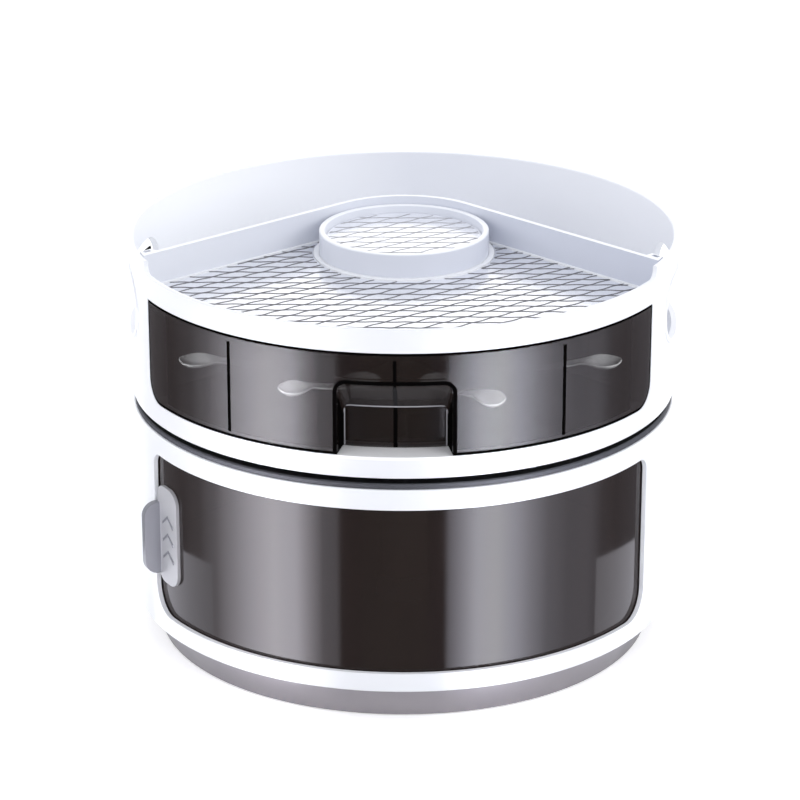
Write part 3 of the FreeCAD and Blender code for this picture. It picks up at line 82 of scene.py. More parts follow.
lens = bpy.data.cameras.new("camera")
lens.lens = 147.07
lens.sensor_width = 36
lens.shift_x = -0.00425
camera = linked("camera", lens)
camera.location = AIM + AWAY * Vector(
    (math.cos(LIFT) * math.sin(SIDE), -math.cos(LIFT) * math.cos(SIDE), math.sin(LIFT)))
camera.rotation_euler = (AIM - camera.location).to_track_quat("-Z", "Y").to_euler()
bpy.context.scene.camera = camera
print("camera stands at", camera.location)

# %% [markdown]
# Every finish is a small network of nodes. One function adds a node, sets it up and wires it.
# An input may be a plain value or another node's output. A second function turns the familiar
# hex colours into the linear numbers that Blender calculates with.

# %% Node helper and colours
def colour(code):
    """Linear colour of an sRGB hex code such as #f0f1f3."""
    parts = [int(code[i:i + 2], 16) / 255 for i in (1, 3, 5)]
    return [p / 12.92 if p <= 0.04045 else ((p + 0.055) / 1.055) ** 2.4 for p in parts] + [1.0]


def fill(tree, node, inputs):
    """Give a node's inputs plain values or links."""
    for name, value in inputs.items():
        socket = node.inputs[name]
        if isinstance(value, bpy.types.NodeSocket):
            tree.links.new(value, socket)
        else:
            socket.default_value = value


def add(tree, kind, inputs=None, **settings):
    """Add a node, with its settings, and fill its inputs."""
    node = tree.nodes.new(kind)
    for name, value in settings.items():
        setattr(node, name, value)
    fill(tree, node, inputs or {})
    return node


# Places of the colour sockets on Blender's mix node, where several share a name.
FIRST, SECOND, MIXED = 6, 7, 2


def blend(tree, factor, first, second):
    """Mix two colours. Each is a hex code or a socket."""
    first, second = (colour(c) if isinstance(c, str) else c for c in (first, second))
    mix = add(tree, "ShaderNodeMix", {
        "Factor": factor, FIRST: first, SECOND: second}, data_type="RGBA")
    return mix.outputs[MIXED]


def calc(tree, operation, *values):
    """One math node. The values are numbers or sockets."""
    return add(tree, "ShaderNodeMath", dict(enumerate(values)), operation=operation).outputs[0]


def chained(tree, operation, *values):
    """One math step after another over several values."""
    total = values[0]
    for value in values[1:]:
        total = calc(tree, operation, total, value)
    return total


def times(tree, *values):
    """The product of several values."""
    return chained(tree, "MULTIPLY", *values)


def length(tree, one, other):
    """The length of a line that goes one way by one value and across it by the other."""
    return calc(tree, "SQRT", calc(tree, "ADD", times(tree, one, one), times(tree, other, other)))


def remap(tree, value, low, high, to_low=0.0, to_high=1.0):
    """Map one range onto another, held at its ends."""
    return add(tree, "ShaderNodeMapRange", {
        "Value": value, "From Min": low, "From Max": high,
        "To Min": to_low, "To Max": to_high}).outputs["Result"]


print("white ABS in linear light:", [round(c, 3) for c in colour("#f3f4f6")])

# %% [markdown]
# Some finishes change from place to place on one solid: the edge of a panel, the fin of the
# handle. Such places are worked out as distances on the unrolled body: millimetres round it,
# millimetres up and millimetres from the turning axis.

# %% Distances on the unrolled body
def coordinates(tree, place):
    """The X, Y and Z of a place or a direction."""
    return add(tree, "ShaderNodeSeparateXYZ", {0: place}).outputs


def own_place(tree):
    """The place on the object, in its own coordinates."""
    return add(tree, "ShaderNodeTexCoord").outputs["Object"]


def unrolled(tree, radius=BODY):
    """Millimetres round the body at a radius, millimetres up, and millimetres from the axis."""
    x, y, z = (times(tree, part, 1 / MM) for part in coordinates(tree, own_place(tree)))
    turn = calc(tree, "ARCTAN2", x, times(tree, y, -1.0))
    return times(tree, turn, radius), z, length(tree, x, y)


def rounded_box(tree, across, up, middle, half_width, half_height, corner):
    """Distance to the outline of a rounded rectangle, negative inside."""
    side = calc(tree, "SUBTRACT", calc(tree, "ABSOLUTE", across), half_width - corner)
    from_middle = calc(tree, "ABSOLUTE", calc(tree, "SUBTRACT", up, middle))
    rise = calc(tree, "SUBTRACT", from_middle, half_height - corner)
    past = length(tree, calc(tree, "MAXIMUM", side, 0.0), calc(tree, "MAXIMUM", rise, 0.0))
    inside = calc(tree, "MINIMUM", calc(tree, "MAXIMUM", side, rise), 0.0)
    return calc(tree, "SUBTRACT", calc(tree, "ADD", past, inside), corner)


def band(tree, value, low, high, soft=0.25):
    """1 between two limits, fading to 0 over a soft edge."""
    start = remap(tree, value, low - soft, low + soft)
    stop = remap(tree, value, high - soft, high + soft, 1.0, 0.0)
    return times(tree, start, stop)


def sideways(tree, left, right, start=-130, stop=130):
    """A strength that runs from one value on the object's left to another on its right."""
    across = coordinates(tree, own_place(tree))["X"]
    return remap(tree, across, start * MM, stop * MM, left, right)


print("distance helpers ready")

# %% [markdown]
# Moulded plastic is never one flat colour. Its surface has a fine grain from the steel mould, it
# flows in slightly lighter and darker zones, and its gloss varies where it has been handled.
# One function makes this family of finishes. Each plastic then gets its own numbers.

# %% Moulded plastics
def new_material(name):
    material = bpy.data.materials.new(name)
    material.use_nodes = True
    tree = material.node_tree
    return material, tree, tree.nodes["Principled BSDF"]


def noise(tree, size_mm, detail=3.0, stretch=(1, 1, 1)):
    """Noise whose blotches are about size_mm wide, in the object's own coordinates."""
    scaled = add(tree, "ShaderNodeMapping", {"Vector": own_place(tree), "Scale": stretch})
    cloud = add(tree, "ShaderNodeTexNoise", {
        "Vector": scaled.outputs["Vector"], "Scale": 1 / (size_mm * MM), "Detail": detail})
    return cloud.outputs["Fac"]


def spread(tree, cloud, low, high):
    """Map the middle of a noise, where nearly all of it lies, onto a range."""
    return remap(tree, cloud, 0.3, 0.7, low, high)


def moulded(name, main, other, flow_mm, grain_mm, gloss, bump_mm, ior=1.49):
    """Injection-moulded plastic: flow zones in the colour, grain in the surface, uneven gloss."""
    material, tree, shader = new_material(name)
    flow = noise(tree, flow_mm)
    edge = add(tree, "ShaderNodeBevel", {"Radius": 0.3 * MM}, samples=4)
    bump = add(tree, "ShaderNodeBump", {
        "Height": noise(tree, grain_mm, 2.0), "Distance": bump_mm * MM, "Strength": 0.6,
        "Normal": edge.outputs["Normal"]})
    fill(tree, shader, {
        "Base Color": blend(tree, flow, main, other), "Roughness": spread(tree, flow, *gloss),
        "Normal": bump.outputs["Normal"], "IOR": ior})
    return material


# Each line gives two shades, the size of the flow zones and of the grain in millimetres, the
# range of roughness and the height of the grain in millimetres.
# White ABS: bright, faintly cool, satin. Its sheen is broad, so the walls read as soft plastic.
white_abs = moulded("white_abs", "#f3f4f6", "#eceef2", 60, 0.6, (0.30, 0.42), 0.010)
# The same white ABS for the tray and the upper casing. The tray's copy is a touch lighter and the
# casing's a touch darker, a painted light and a painted shade, and both carry painted regions below.
tray_abs = moulded("tray_white_abs", "#f4f5f7", "#eef0f3", 60, 0.6, (0.30, 0.42), 0.010)
casing_abs = moulded("white_casing_abs", "#f0f1f4", "#ebecf0", 60, 0.6, (0.30, 0.42), 0.010)
# Tinted polystyrene of the base: mid grey with a warm cast, glossier than the ABS.
base_grey = moulded("tinted_polystyrene", "#aba5a8", "#9b969b", 25, 0.8, (0.32, 0.42), 0.006)
# Matt grey ABS of the door handle, with a coarse grain.
handle_grey = moulded("grey_abs", "#b4b4b7", "#a9a9ad", 18, 0.7, (0.32, 0.45), 0.03)
# Dark ring between the tiers, a tinted moulding that shows as a soft grey line.
ring_dark = moulded("dark_ring_abs", "#46474c", "#3c3d42", 30, 0.6, (0.5, 0.6), 0.010)
fill(ring_dark.node_tree, ring_dark.node_tree.nodes["Principled BSDF"], {"Specular IOR Level": 0.18})
# Rubber feet: near black, dull, with a coarse grain.
foot_rubber = moulded("foot_rubber", "#2b2c2e", "#242527", 6, 0.4, (0.75, 0.9), 0.03)
# Acetal slides: waxy, slightly yellow white.
slide_acetal = moulded("acetal", "#e9e7df", "#e2dfd5", 10, 0.5, (0.38, 0.5), 0.01, ior=1.48)
print("eight moulded plastics ready")

# %% [markdown]
# Some mouldings are painted another shade in one region, as painted shade or painted light. The
# handle's fin and its raised chevrons are painted darker than its plate, a painted shade. The
# ring's top, in the gap between the tiers, is painted near black, a painted shadow. The base is
# painted darker where it turns away from the eye, a painted shade.
#
# The tray's and the dish's walls and the inside of the casing are painted cooler and darker than
# the rims, a painted shade, most of all on the side away from the main lamp. The left part of the
# casing's inside and the ledge under the finger recess are painted lighter, a painted light.

# %% Painted shade and light within a moulding
def shade_part(material, region, shade):
    """Paint one region of a moulded finish another shade, for painted shade or painted light."""
    tree = material.node_tree
    shader = tree.nodes["Principled BSDF"]
    plain = shader.inputs["Base Color"].links[0].from_socket
    fill(tree, shader, {"Base Color": blend(tree, region(tree), plain, shade)})


# Painted shade on the handle: all that stands proud of the plate, that is the fin and the chevrons.
def fin_and_chevrons_shade(tree):
    return band(tree, unrolled(tree)[2], 154.25, FAR, 0.15)


# Painted shadow: the ring within 153.1 mm of the axis, its top in the gap between the tiers.
def ring_top_shadow(tree):
    return band(tree, unrolled(tree)[2], 0.0, 153.1, 0.2)


def turned_away(tree, power=1.6):
    """0 where the surface faces the eye, 1 where it turns away."""
    facing = add(tree, "ShaderNodeLayerWeight", {"Blend": 0.5}).outputs["Facing"]
    return calc(tree, "POWER", facing, power)


def walls_painted_shade(tree):
    """The standing walls of the tray and the dish, but not the bead at their foot, for painted shade.
    """
    facing_up = coordinates(tree, add(tree, "ShaderNodeNewGeometry").outputs["Normal"])["Z"]
    upright = calc(tree, "SUBTRACT", 1.0, calc(tree, "ABSOLUTE", facing_up))
    return times(tree, upright, band(tree, unrolled(tree)[1], 218.5, FAR), sideways(tree, 0.5, 1.0))


def inside_casing(tree):
    """The inside of the upper casing, above its sill."""
    _, up, from_axis = unrolled(tree)
    return times(tree, band(tree, up, 162.0, FAR), band(tree, from_axis, 0.0, 152.8))


def inner_shade(tree):
    """Painted shade on the inside of the casing, strongest in the middle."""
    strength = times(tree, sideways(tree, 0.0, 0.42, stop=0), sideways(tree, 1.0, 0.25, start=0))
    return times(tree, inside_casing(tree), strength)


def inner_light(tree):
    """Painted light on the left part of the casing's inside."""
    return times(tree, inside_casing(tree), sideways(tree, 1.0, 0.0, stop=0))


def sill_painted_light(tree):
    """Painted light on the ledge under the drawer's finger recess."""
    across, up, _ = unrolled(tree)
    return times(tree, band(tree, across, -32.0, 32.0), band(tree, up, 156.0, 161.0))


# Painted shade: the fin and chevrons, the ring's top, the base where it turns away, the tray's walls
# and the casing's inside. Painted light: the left of the casing's inside and the sill.
for plastic, region, shade in (
    (handle_grey, fin_and_chevrons_shade, "#78797f"), (ring_dark, ring_top_shadow, "#0b0b0c"),
    (base_grey, turned_away, "#43424a"), (tray_abs, walls_painted_shade, "#cdd1dd"),
    (casing_abs, inner_shade, "#d9dce5"), (casing_abs, inner_light, "#fcfdff"),
    (casing_abs, sill_painted_light, "#ffffff"),
):
    shade_part(plastic, region, shade)
print("seven regions shaded")

# %% [markdown]
# Metals keep the default IOR and are told apart by their roughness. A lathe or a rolling mill
# leaves fine lines, so the noise is stretched along one axis. Zinc plating has small cloudy
# crystals instead, and hardened balls are almost mirrors.

# %% Metals
def metal(name, main, other, size_mm, stretch, gloss, bump_mm=0.01, metallic=1.0):
    """Brushed, plated or polished metal. The lines show in colour, roughness and surface."""
    material, tree, shader = new_material(name)
    lines = noise(tree, size_mm, 4.0, stretch)
    bump = add(tree, "ShaderNodeBump", {"Height": lines, "Distance": bump_mm * MM, "Strength": 0.4})
    fill(tree, shader, {
        "Base Color": blend(tree, lines, main, other), "Roughness": spread(tree, lines, *gloss),
        "Normal": bump.outputs["Normal"], "Metallic": metallic})
    return material


EVEN = (1, 1, 1)
rolled_steel = metal("rolled_steel", "#b9bbbd", "#a3a6aa", 0.5, (1, 0.1, 1), (0.25, 0.4))
ball_steel = metal("polished_ball_steel", "#d2d4d6", "#c4c6ca", 0.8, EVEN, (0.06, 0.12))
zinc_screw = metal("zinc_plated_steel", "#c8cbd0", "#aeb4bc", 0.7, EVEN, (0.22, 0.4))
print("three metals ready")

# %% [markdown]
# The drawer, its dividers and the door are smoked acrylic. Seen square on, a sheet lets a good
# part of the light through. Seen at a slant the path through it is longer, so the edges and the
# turned-away sides go nearly black. A layer weight gives that.
#
# Where the sheet ends, or where a divider stands behind it, the eye looks along the plastic and
# sees a black line without gloss. The crease of the finger recess is painted the opposite way: a
# thin pale line there is a painted highlight, with a faint painted light on the recess's ceiling.

# %% Dark and pale lines of the acrylic
# Height of the middle, half width, half height and corner radius. The drawer's outline runs on
# past the top and its recess past the bottom, so each has only the corners that are seen.
DRAWER_OUTLINE = (258.1, 170.4, 100.0, 13.7)
RECESS_OUTLINE = (98.3, 31.1, 100.0, 5.0)
DOOR_OUTLINE = (79.85, 173.9, 56.85, 1.0)
# Distances from the axis: inside of the drawer's front, and the inner end of its finger recess.
FRONT_INSIDE, RECESS_END = 152.2, 138.5


def drawer_lines(tree):
    """Black: edges of the front and recess, and dividers' front edges. Pale: painted crease highlight.
    """
    across, up, from_axis = unrolled(tree)
    recess = rounded_box(tree, across, up, *RECESS_OUTLINE)
    tall = band(tree, up, 160.6, 212.2)
    in_front = band(tree, from_axis, FRONT_INSIDE, FAR)
    in_recess = band(tree, from_axis, RECESS_END, FRONT_INSIDE)
    on_front = chained(
        tree, "MAXIMUM",
        band(tree, rounded_box(tree, across, up, *DRAWER_OUTLINE), -1.3, FAR),
        band(tree, up, 214.7, FAR),
        band(tree, up, 0.0, 159.6),
        band(tree, recess, -0.2, 2.2),
        times(tree, band(tree, calc(tree, "ABSOLUTE", across), 94.7, 96.9, 0.12), tall),
        times(tree, band(tree, across, -1.0, 1.0), tall))
    recess_sides = times(tree, band(tree, recess, -0.4, 2.6), in_recess)
    middle_line = times(tree, band(tree, across, -1.3, 1.3), in_recess, band(tree, up, 0.0, 198.0))
    dark = chained(tree, "MAXIMUM", times(tree, on_front, in_front), recess_sides, middle_line)
    # The pale mask is a painted highlight: a thin line along the crease, its corners, and a faint wash
    # on the recess's ceiling.
    inside = band(tree, recess, -FAR, -1.2)
    at_crease = band(tree, from_axis, 140.2, 142.2)
    crease = times(tree, band(tree, up, 181.0, 181.8), at_crease, inside)
    corner = times(tree, band(tree, recess, -1.3, -0.6), at_crease)
    at_ceiling = times(tree, band(tree, up, 181.5, 197.8), band(tree, from_axis, 140.8, 154.0))
    return dark, chained(tree, "MAXIMUM", crease, corner, times(tree, at_ceiling, inside, 0.05))


def door_lines(tree):
    """Black: the door's own four edges."""
    across, up, _ = unrolled(tree, DOOR)
    return band(tree, rounded_box(tree, across, up, *DOOR_OUTLINE), -0.4, FAR), None


print("line rules ready")

# %% [markdown]
# Light crosses two faces of a sheet. Both are counted where the sight enters the sheet, and it
# leaves freely. That is as dark as two equal faces, with one clean reflection in place of a faint
# doubled one. Fine upright streaks from the casting show in the tint and in the gloss.

# %% Smoked acrylic
def smoked(name, face_alpha, slant_power, tint, streak, lines=None, gloss_level=0.256):
    """Smoked acrylic. face_alpha is how much one face hides when it is seen square on."""
    material, tree, shader = new_material(name)
    streaks = noise(tree, 9, 3.0, (1, 1, 0.12))
    base, gloss = blend(tree, streaks, tint, streak), gloss_level
    alpha = remap(tree, turned_away(tree, slant_power), 0.0, 1.0, face_alpha, 1.0)
    if lines:
        dark, pale = lines(tree)
        # The dark mask paints the black lines, the pale mask a painted highlight.
        for mask, shade in ((dark, "#080707"), (pale, "#b9b8bd")):
            if mask:
                base = blend(tree, mask, base, shade)
                alpha = calc(tree, "MAXIMUM", alpha, times(tree, mask, 0.98))
        gloss = times(tree, calc(tree, "SUBTRACT", 1.0, dark), gloss_level)
    passed = calc(tree, "SUBTRACT", 1.0, alpha)
    both_faces = calc(tree, "SUBTRACT", 1.0, times(tree, passed, passed))
    entering = calc(tree, "SUBTRACT", 1.0, add(tree, "ShaderNodeNewGeometry").outputs["Backfacing"])
    edge = add(tree, "ShaderNodeBevel", {"Radius": 0.35 * MM}, samples=4)
    bump = add(tree, "ShaderNodeBump", {
        "Height": noise(tree, 22, 1.0), "Distance": 0.02 * MM, "Strength": 0.2,
        "Normal": edge.outputs["Normal"]})
    fill(tree, shader, {
        "Base Color": base, "Alpha": times(tree, both_faces, entering),
        "Roughness": spread(tree, streaks, 0.09, 0.13), "Normal": bump.outputs["Normal"],
        "IOR": 1.49, "Specular IOR Level": gloss})
    return material


smoked_door = smoked("smoked_acrylic_door", 0.77, 2.2, "#1e1614", "#261c18", door_lines, 0.231)
smoked_drawer = smoked("smoked_acrylic_drawer", 0.42, 2.2, "#1e1614", "#271d19", drawer_lines)
smoked_divider = smoked("smoked_acrylic_divider", 0.40, 2.0, "#1c1614", "#241c19")
print("smoked acrylic ready")

# %% [markdown]
# The spoons are clear polystyrene. Against the dark drawer they read as pale, glassy shapes, so
# the finish is a thin bright haze with a crisp gloss. The haze is painted strong in the leaf near
# the drawer's front and fades towards the clear bowl, a painted light.

# %% Clear polystyrene
clear_spoon, clear_tree, clear_shader = new_material("clear_polystyrene")
haze = spread(clear_tree, noise(clear_tree, 6, 2.0), 0.72, 0.88)
# Painted light: the haze grows from the bowl towards the leaf at the drawer's front.
towards_front = remap(clear_tree, unrolled(clear_tree)[2], 74.0, 118.0, 0.05, 1.0)
fill(clear_tree, clear_shader, {
    "Alpha": times(clear_tree, haze, towards_front), "Base Color": colour("#f4f6f8"),
    "Roughness": 0.08, "IOR": 1.59})
print("clear polystyrene ready")

# %% [markdown]
# The mats are silver film under a raised lattice. The film is bright, slightly cool and finely
# brushed. The lattice strands are a darker pewter grey, so the pattern shows from a step away.
# The dish's strands are paler.

# %% Mats
silver_film = metal(
    "silver_film", "#fbfbfd", "#f4f6fa", 1.2, (0.2, 1, 1), (0.14, 0.22), bump_mm=0.003, metallic=0.75)
pewter_strand = metal("pewter_strand", "#717176", "#626267", 0.8, EVEN, (0.35, 0.5), metallic=0.3)
pale_strand = metal("pale_pewter_strand", "#b2b2b7", "#a1a1a7", 0.8, EVEN, (0.35, 0.5), metallic=0.4)
print("mat finishes ready")

# %% [markdown]
# Each solid of the frame keeps its shape and gets its finish. The list below names the solids of
# each finish, and the loop makes it the only material of each of them.

# %% Dress the solids
FINISHES = {
    white_abs: "lower_pan lower_casing centre_column tier_deck upper_floor bay_wall hub_keeper",
    casing_abs: "upper_casing",
    tray_abs: "wedge_tray round_dish",
    base_grey: "base_shell",
    handle_grey: "door_handle",
    ring_dark: "tier_ring",
    foot_rubber: "rubber_feet",
    slide_acetal: "ball_cage tier_glides door_glides drawer_rails drawer_clips",
    rolled_steel: "base_race pan_race spindle spindle_washer",
    ball_steel: "bearing_balls",
    zinc_screw: "spindle_screw ring_screws handle_screws casing_screws tray_screws hub_screw",
    smoked_door: "rotary_door",
    smoked_drawer: "drawer_tray",
    smoked_divider: "divider_left divider_centre divider_right",
    silver_film: "tray_mat dish_mat",
}


def paint(mesh, finish):
    """Make a finish the only material of a mesh."""
    mesh.materials.clear()
    mesh.materials.append(finish)


dressed = 0
for finish, names in FINISHES.items():
    for name in names.split():
        paint(nodes[name].data, finish)
        dressed += 1
print(dressed, "solids dressed")

# %% [markdown]
# The mat's lattice is expanded metal: two families of thin strands that cross at a narrow angle.
# Geometry Nodes draw one family as a row of straight lines, cut them to the mat's outline by a
# rule on position, and sweep a flat section along what is left. The same tree makes both families
# and the small disc in the dish, with other numbers.

# %% Lattice tree
STRAND_SIZES = (
    "Spacing", "Angle", "Width", "Height", "Level", "Offset", "Wave", "Wave length",
    "Outer radius", "Centre Y", "Ring radius", "Wall distance", "Wall slope")


def vector(tree, **parts):
    """A vector from its X, Y and Z. A part that isn't given is 0."""
    return add(tree, "ShaderNodeCombineXYZ", parts).outputs[0]


def lattice_tree():
    """Parallel strands in a plane, kept only inside the mat's outline."""
    tree = bpy.data.node_groups.new("strand_lattice", "GeometryNodeTree")
    tree.interface.new_socket("Geometry", in_out="OUTPUT", socket_type="NodeSocketGeometry")
    for name in STRAND_SIZES:
        tree.interface.new_socket(name, in_out="INPUT", socket_type="NodeSocketFloat")
    tree.interface.new_socket("Material", in_out="INPUT", socket_type="NodeSocketMaterial")
    given = add(tree, "NodeGroupInput").outputs

    # One strand is a chain of short steps, so that it can bend and be cut anywhere.
    reach, steps = 0.34, 680
    strand = add(tree, "GeometryNodeMeshLine", {
        "Count": steps, "Start Location": (-reach / 2, 0, 0), "Offset": (reach / (steps - 1), 0, 0)})
    # The rows are counted from the middle one, and more of them are laid than the mat has.
    row_count = 81
    rows = add(tree, "GeometryNodeMeshLine", {"Count": row_count})
    number = add(tree, "GeometryNodeInputIndex").outputs[0]
    from_middle = calc(tree, "SUBTRACT", number, (row_count - 1) / 2)
    row_at = calc(tree, "ADD", times(tree, from_middle, given["Spacing"]), given["Offset"])
    set_rows = add(tree, "GeometryNodeSetPosition", {
        "Geometry": rows.outputs["Mesh"], "Position": vector(tree, Y=row_at)})
    copies = add(tree, "GeometryNodeInstanceOnPoints", {
        "Points": set_rows.outputs["Geometry"], "Instance": strand.outputs["Mesh"]})
    real = add(tree, "GeometryNodeRealizeInstances", {"Geometry": copies.outputs["Instances"]})

    # A slight wave shows how the strands were pulled apart.
    along = coordinates(tree, add(tree, "GeometryNodeInputPosition").outputs[0])["X"]
    phase = times(tree, calc(tree, "DIVIDE", along, given["Wave length"]), 2 * math.pi)
    sway = times(tree, calc(tree, "SINE", phase), given["Wave"])
    wavy = add(tree, "GeometryNodeSetPosition", {
        "Geometry": real.outputs["Geometry"], "Offset": vector(tree, Y=sway)})
    turned = add(tree, "GeometryNodeTransform", {
        "Geometry": wavy.outputs["Geometry"], "Rotation": vector(tree, Z=given["Angle"]),
        "Translation": vector(tree, Z=given["Level"])})

    # Outside the outline means past the rim, inside the dish's ring, or behind either wall.
    x, y, _ = coordinates(tree, add(tree, "GeometryNodeInputPosition").outputs[0])
    back = calc(tree, "SUBTRACT", y, given["Centre Y"])
    to_wall = calc(
        tree, "ADD", times(tree, calc(tree, "ABSOLUTE", x), calc(tree, "SINE", given["Wall slope"])),
        times(tree, back, calc(tree, "COSINE", given["Wall slope"])))
    outside = chained(
        tree, "MAXIMUM",
        calc(tree, "GREATER_THAN", length(tree, x, y), given["Outer radius"]),
        calc(tree, "LESS_THAN", length(tree, x, back), given["Ring radius"]),
        calc(tree, "GREATER_THAN", to_wall, given["Wall distance"]))
    cut = add(tree, "GeometryNodeDeleteGeometry", {
        "Geometry": turned.outputs["Geometry"], "Selection": outside}, domain="POINT")

    # A flat section is swept along what is left.
    path = add(tree, "GeometryNodeMeshToCurve", {"Mesh": cut.outputs["Geometry"]})
    section = add(tree, "GeometryNodeCurvePrimitiveQuadrilateral", {
        "Width": given["Width"], "Height": given["Height"]}, mode="RECTANGLE")
    swept = add(tree, "GeometryNodeCurveToMesh", {
        "Curve": path.outputs["Curve"], "Profile Curve": section.outputs["Curve"], "Fill Caps": True})
    solid = add(tree, "GeometryNodeRealizeInstances", {"Geometry": swept.outputs["Mesh"]})
    painted = add(tree, "GeometryNodeSetMaterial", {
        "Geometry": solid.outputs["Geometry"], "Material": given["Material"]})
    add(tree, "NodeGroupOutput", {"Geometry": painted.outputs["Geometry"]})
    print(len(tree.nodes), "nodes in the lattice tree")
    return tree


lattice = lattice_tree()

# %% [markdown]
# A tree becomes plain mesh in three steps: give it to a throwaway object as a modifier, read the
# evaluated result, and throw the helper away. The export keeps plain meshes only.

# %% Turn a tree into mesh
def evaluated(helper, name):
    """The mesh that a helper's modifiers make. The helper goes."""
    graph = bpy.context.evaluated_depsgraph_get()
    mesh = bpy.data.meshes.new_from_object(helper.evaluated_get(graph))
    mesh.name = name
    bpy.data.objects.remove(helper)
    return mesh


def from_tree(name, tree, values):
    """The tree's result as a new object with plain mesh data."""
    helper = linked("helper", bpy.data.meshes.new("helper"))
    modifier = helper.modifiers.new("tree", "NODES")
    modifier.node_group = tree
    given = (item for item in tree.interface.items_tree if item.in_out == "INPUT")
    sockets = {item.name: item.identifier for item in given}
    for label, value in values.items():
        modifier[sockets[label]] = value
    return linked(name, evaluated(helper, name))


MAT = {
    "Outer radius": 150.8 * MM, "Centre Y": DISH_BACK * MM, "Ring radius": 52.4 * MM,
    "Wall distance": 47.0 * MM, "Wall slope": math.radians(43.65), "Level": 217.92 * MM,
    "Height": 0.26 * MM, "Width": 0.54 * MM, "Wave": 0.35 * MM, "Wave length": 15.7 * MM,
}
# The level rows lie ROW millimetres apart. Each slanted strand crosses them a STEP further on.
ROW, STEP, SLANT = 9.25, 15.7, math.radians(39.5)
LEVEL = {"Spacing": ROW * MM, "Angle": math.radians(0.5)}
SLANTED = {"Spacing": STEP * math.sin(SLANT) * MM, "Angle": SLANT}
level_rows = from_tree("tray_mesh_rows", lattice, {
    **MAT, **LEVEL, "Offset": 2.0 * MM, "Material": pewter_strand})
slant_rows = from_tree("tray_mesh_slants", lattice, {
    **MAT, **SLANTED, "Wave length": 14.5 * MM, "Material": pewter_strand})
for piece in (level_rows, slant_rows):
    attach(piece, "upper_tier")
    print(piece.name, len(piece.data.polygons), "faces")

# %% [markdown]
# The dish has a disc of the same film. Its lattice is lower and paler, and it is a circle, so the
# wall rule is given numbers that never cut it.

# %% Dish disc
DISC = {
    **MAT, "Outer radius": 54.0 * MM, "Ring radius": 0.0, "Wall distance": 0.3, "Level": 227.70 * MM,
    "Height": 0.16 * MM, "Width": 0.42 * MM, "Material": pale_strand,
}
DISC_RADIUS = 43.4 * MM


def disc_only(piece, radius):
    """Keep the part of a strand mesh that lies on the dish's disc."""
    middle = Vector((0, DISH_BACK * MM))
    work = bmesh.new()
    work.from_mesh(piece.data)
    outer = [v for v in work.verts if (v.co.xy - middle).length > radius]
    bmesh.ops.delete(work, geom=outer, context="VERTS")
    work.to_mesh(piece.data)
    work.free()


for piece in (
    from_tree("dish_mesh_rows", lattice, {**DISC, **LEVEL}),
    from_tree("dish_mesh_slants", lattice, {**DISC, **SLANTED}),
):
    disc_only(piece, DISC_RADIUS)
    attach(piece, "upper_tier")
    print(piece.name, len(piece.data.polygons), "faces")

# %% [markdown]
# A moulded spoon is a thin skin that changes its width and its dish along one line: bowl, narrow
# handle, leaf-shaped end. It is described by a few stations along that line. A grid of faces is
# stretched over them, then thickened and smoothed by modifiers.

# %% Spoons
# Distance from the bowl's middle, height, half width and dishing, in millimetres.
STATIONS = [
    (-12.3, 6.9, 1.6, 0.3), (-10.8, 6.7, 6.0, 2.6), (-6.5, 6.5, 10.4, 5.0), (0.0, 6.5, 11.9, 5.7),
    (6.5, 6.6, 10.0, 4.8), (10.8, 6.9, 6.2, 2.2), (14.0, 7.6, 4.6, 0.5), (24.0, 10.8, 4.6, 0.3),
    (40.0, 16.4, 4.8, 0.3), (52.0, 21.0, 5.0, 0.4), (58.0, 24.0, 5.4, 1.2), (63.0, 26.3, 6.3, 2.8),
    (68.0, 27.3, 7.0, 4.0), (73.5, 27.8, 7.1, 4.3), (78.5, 28.3, 6.6, 3.7), (81.6, 28.6, 5.0, 2.2),
    (83.0, 28.8, 3.0, 0.6),
]
LEAF_TIP = STATIONS[-1][0]
# The roll starts past the bowl's middle and is full after a short run.
ROLL, ROLL_START, ROLL_RUN = math.radians(10), 5, 30
ACROSS = 9


def spoon_mesh(name, roll, drop):
    """A spoon with its bowl at the origin and its handle towards -Y, in millimetres.

    The handle and the leaf are rolled a little to one side, as a spoon lies in its compartment,
    and the leaf rests a drop lower.
    """
    work = bmesh.new()
    grid = []
    for along, height, half, dish in STATIONS:
        lean = roll * min(1.0, max(0.0, (along - ROLL_START) / ROLL_RUN))
        row = []
        for step in range(ACROSS):
            share = 2 * step / (ACROSS - 1) - 1
            sag = dish * (1 - share * share) + drop * max(0.0, along) / LEAF_TIP
            row.append(work.verts.new((
                half * share * math.cos(lean), -along, height - sag - half * share * math.sin(lean))))
        grid.append(row)
    for here, there in zip(grid, grid[1:]):
        for left in range(ACROSS - 1):
            work.faces.new((here[left], there[left], there[left + 1], here[left + 1]))
    bmesh.ops.recalc_face_normals(work, faces=work.faces)
    mesh = bpy.data.meshes.new(name)
    work.to_mesh(mesh)
    work.free()
    return mesh


DRAWER_FLOOR = 160.15
spoons = []
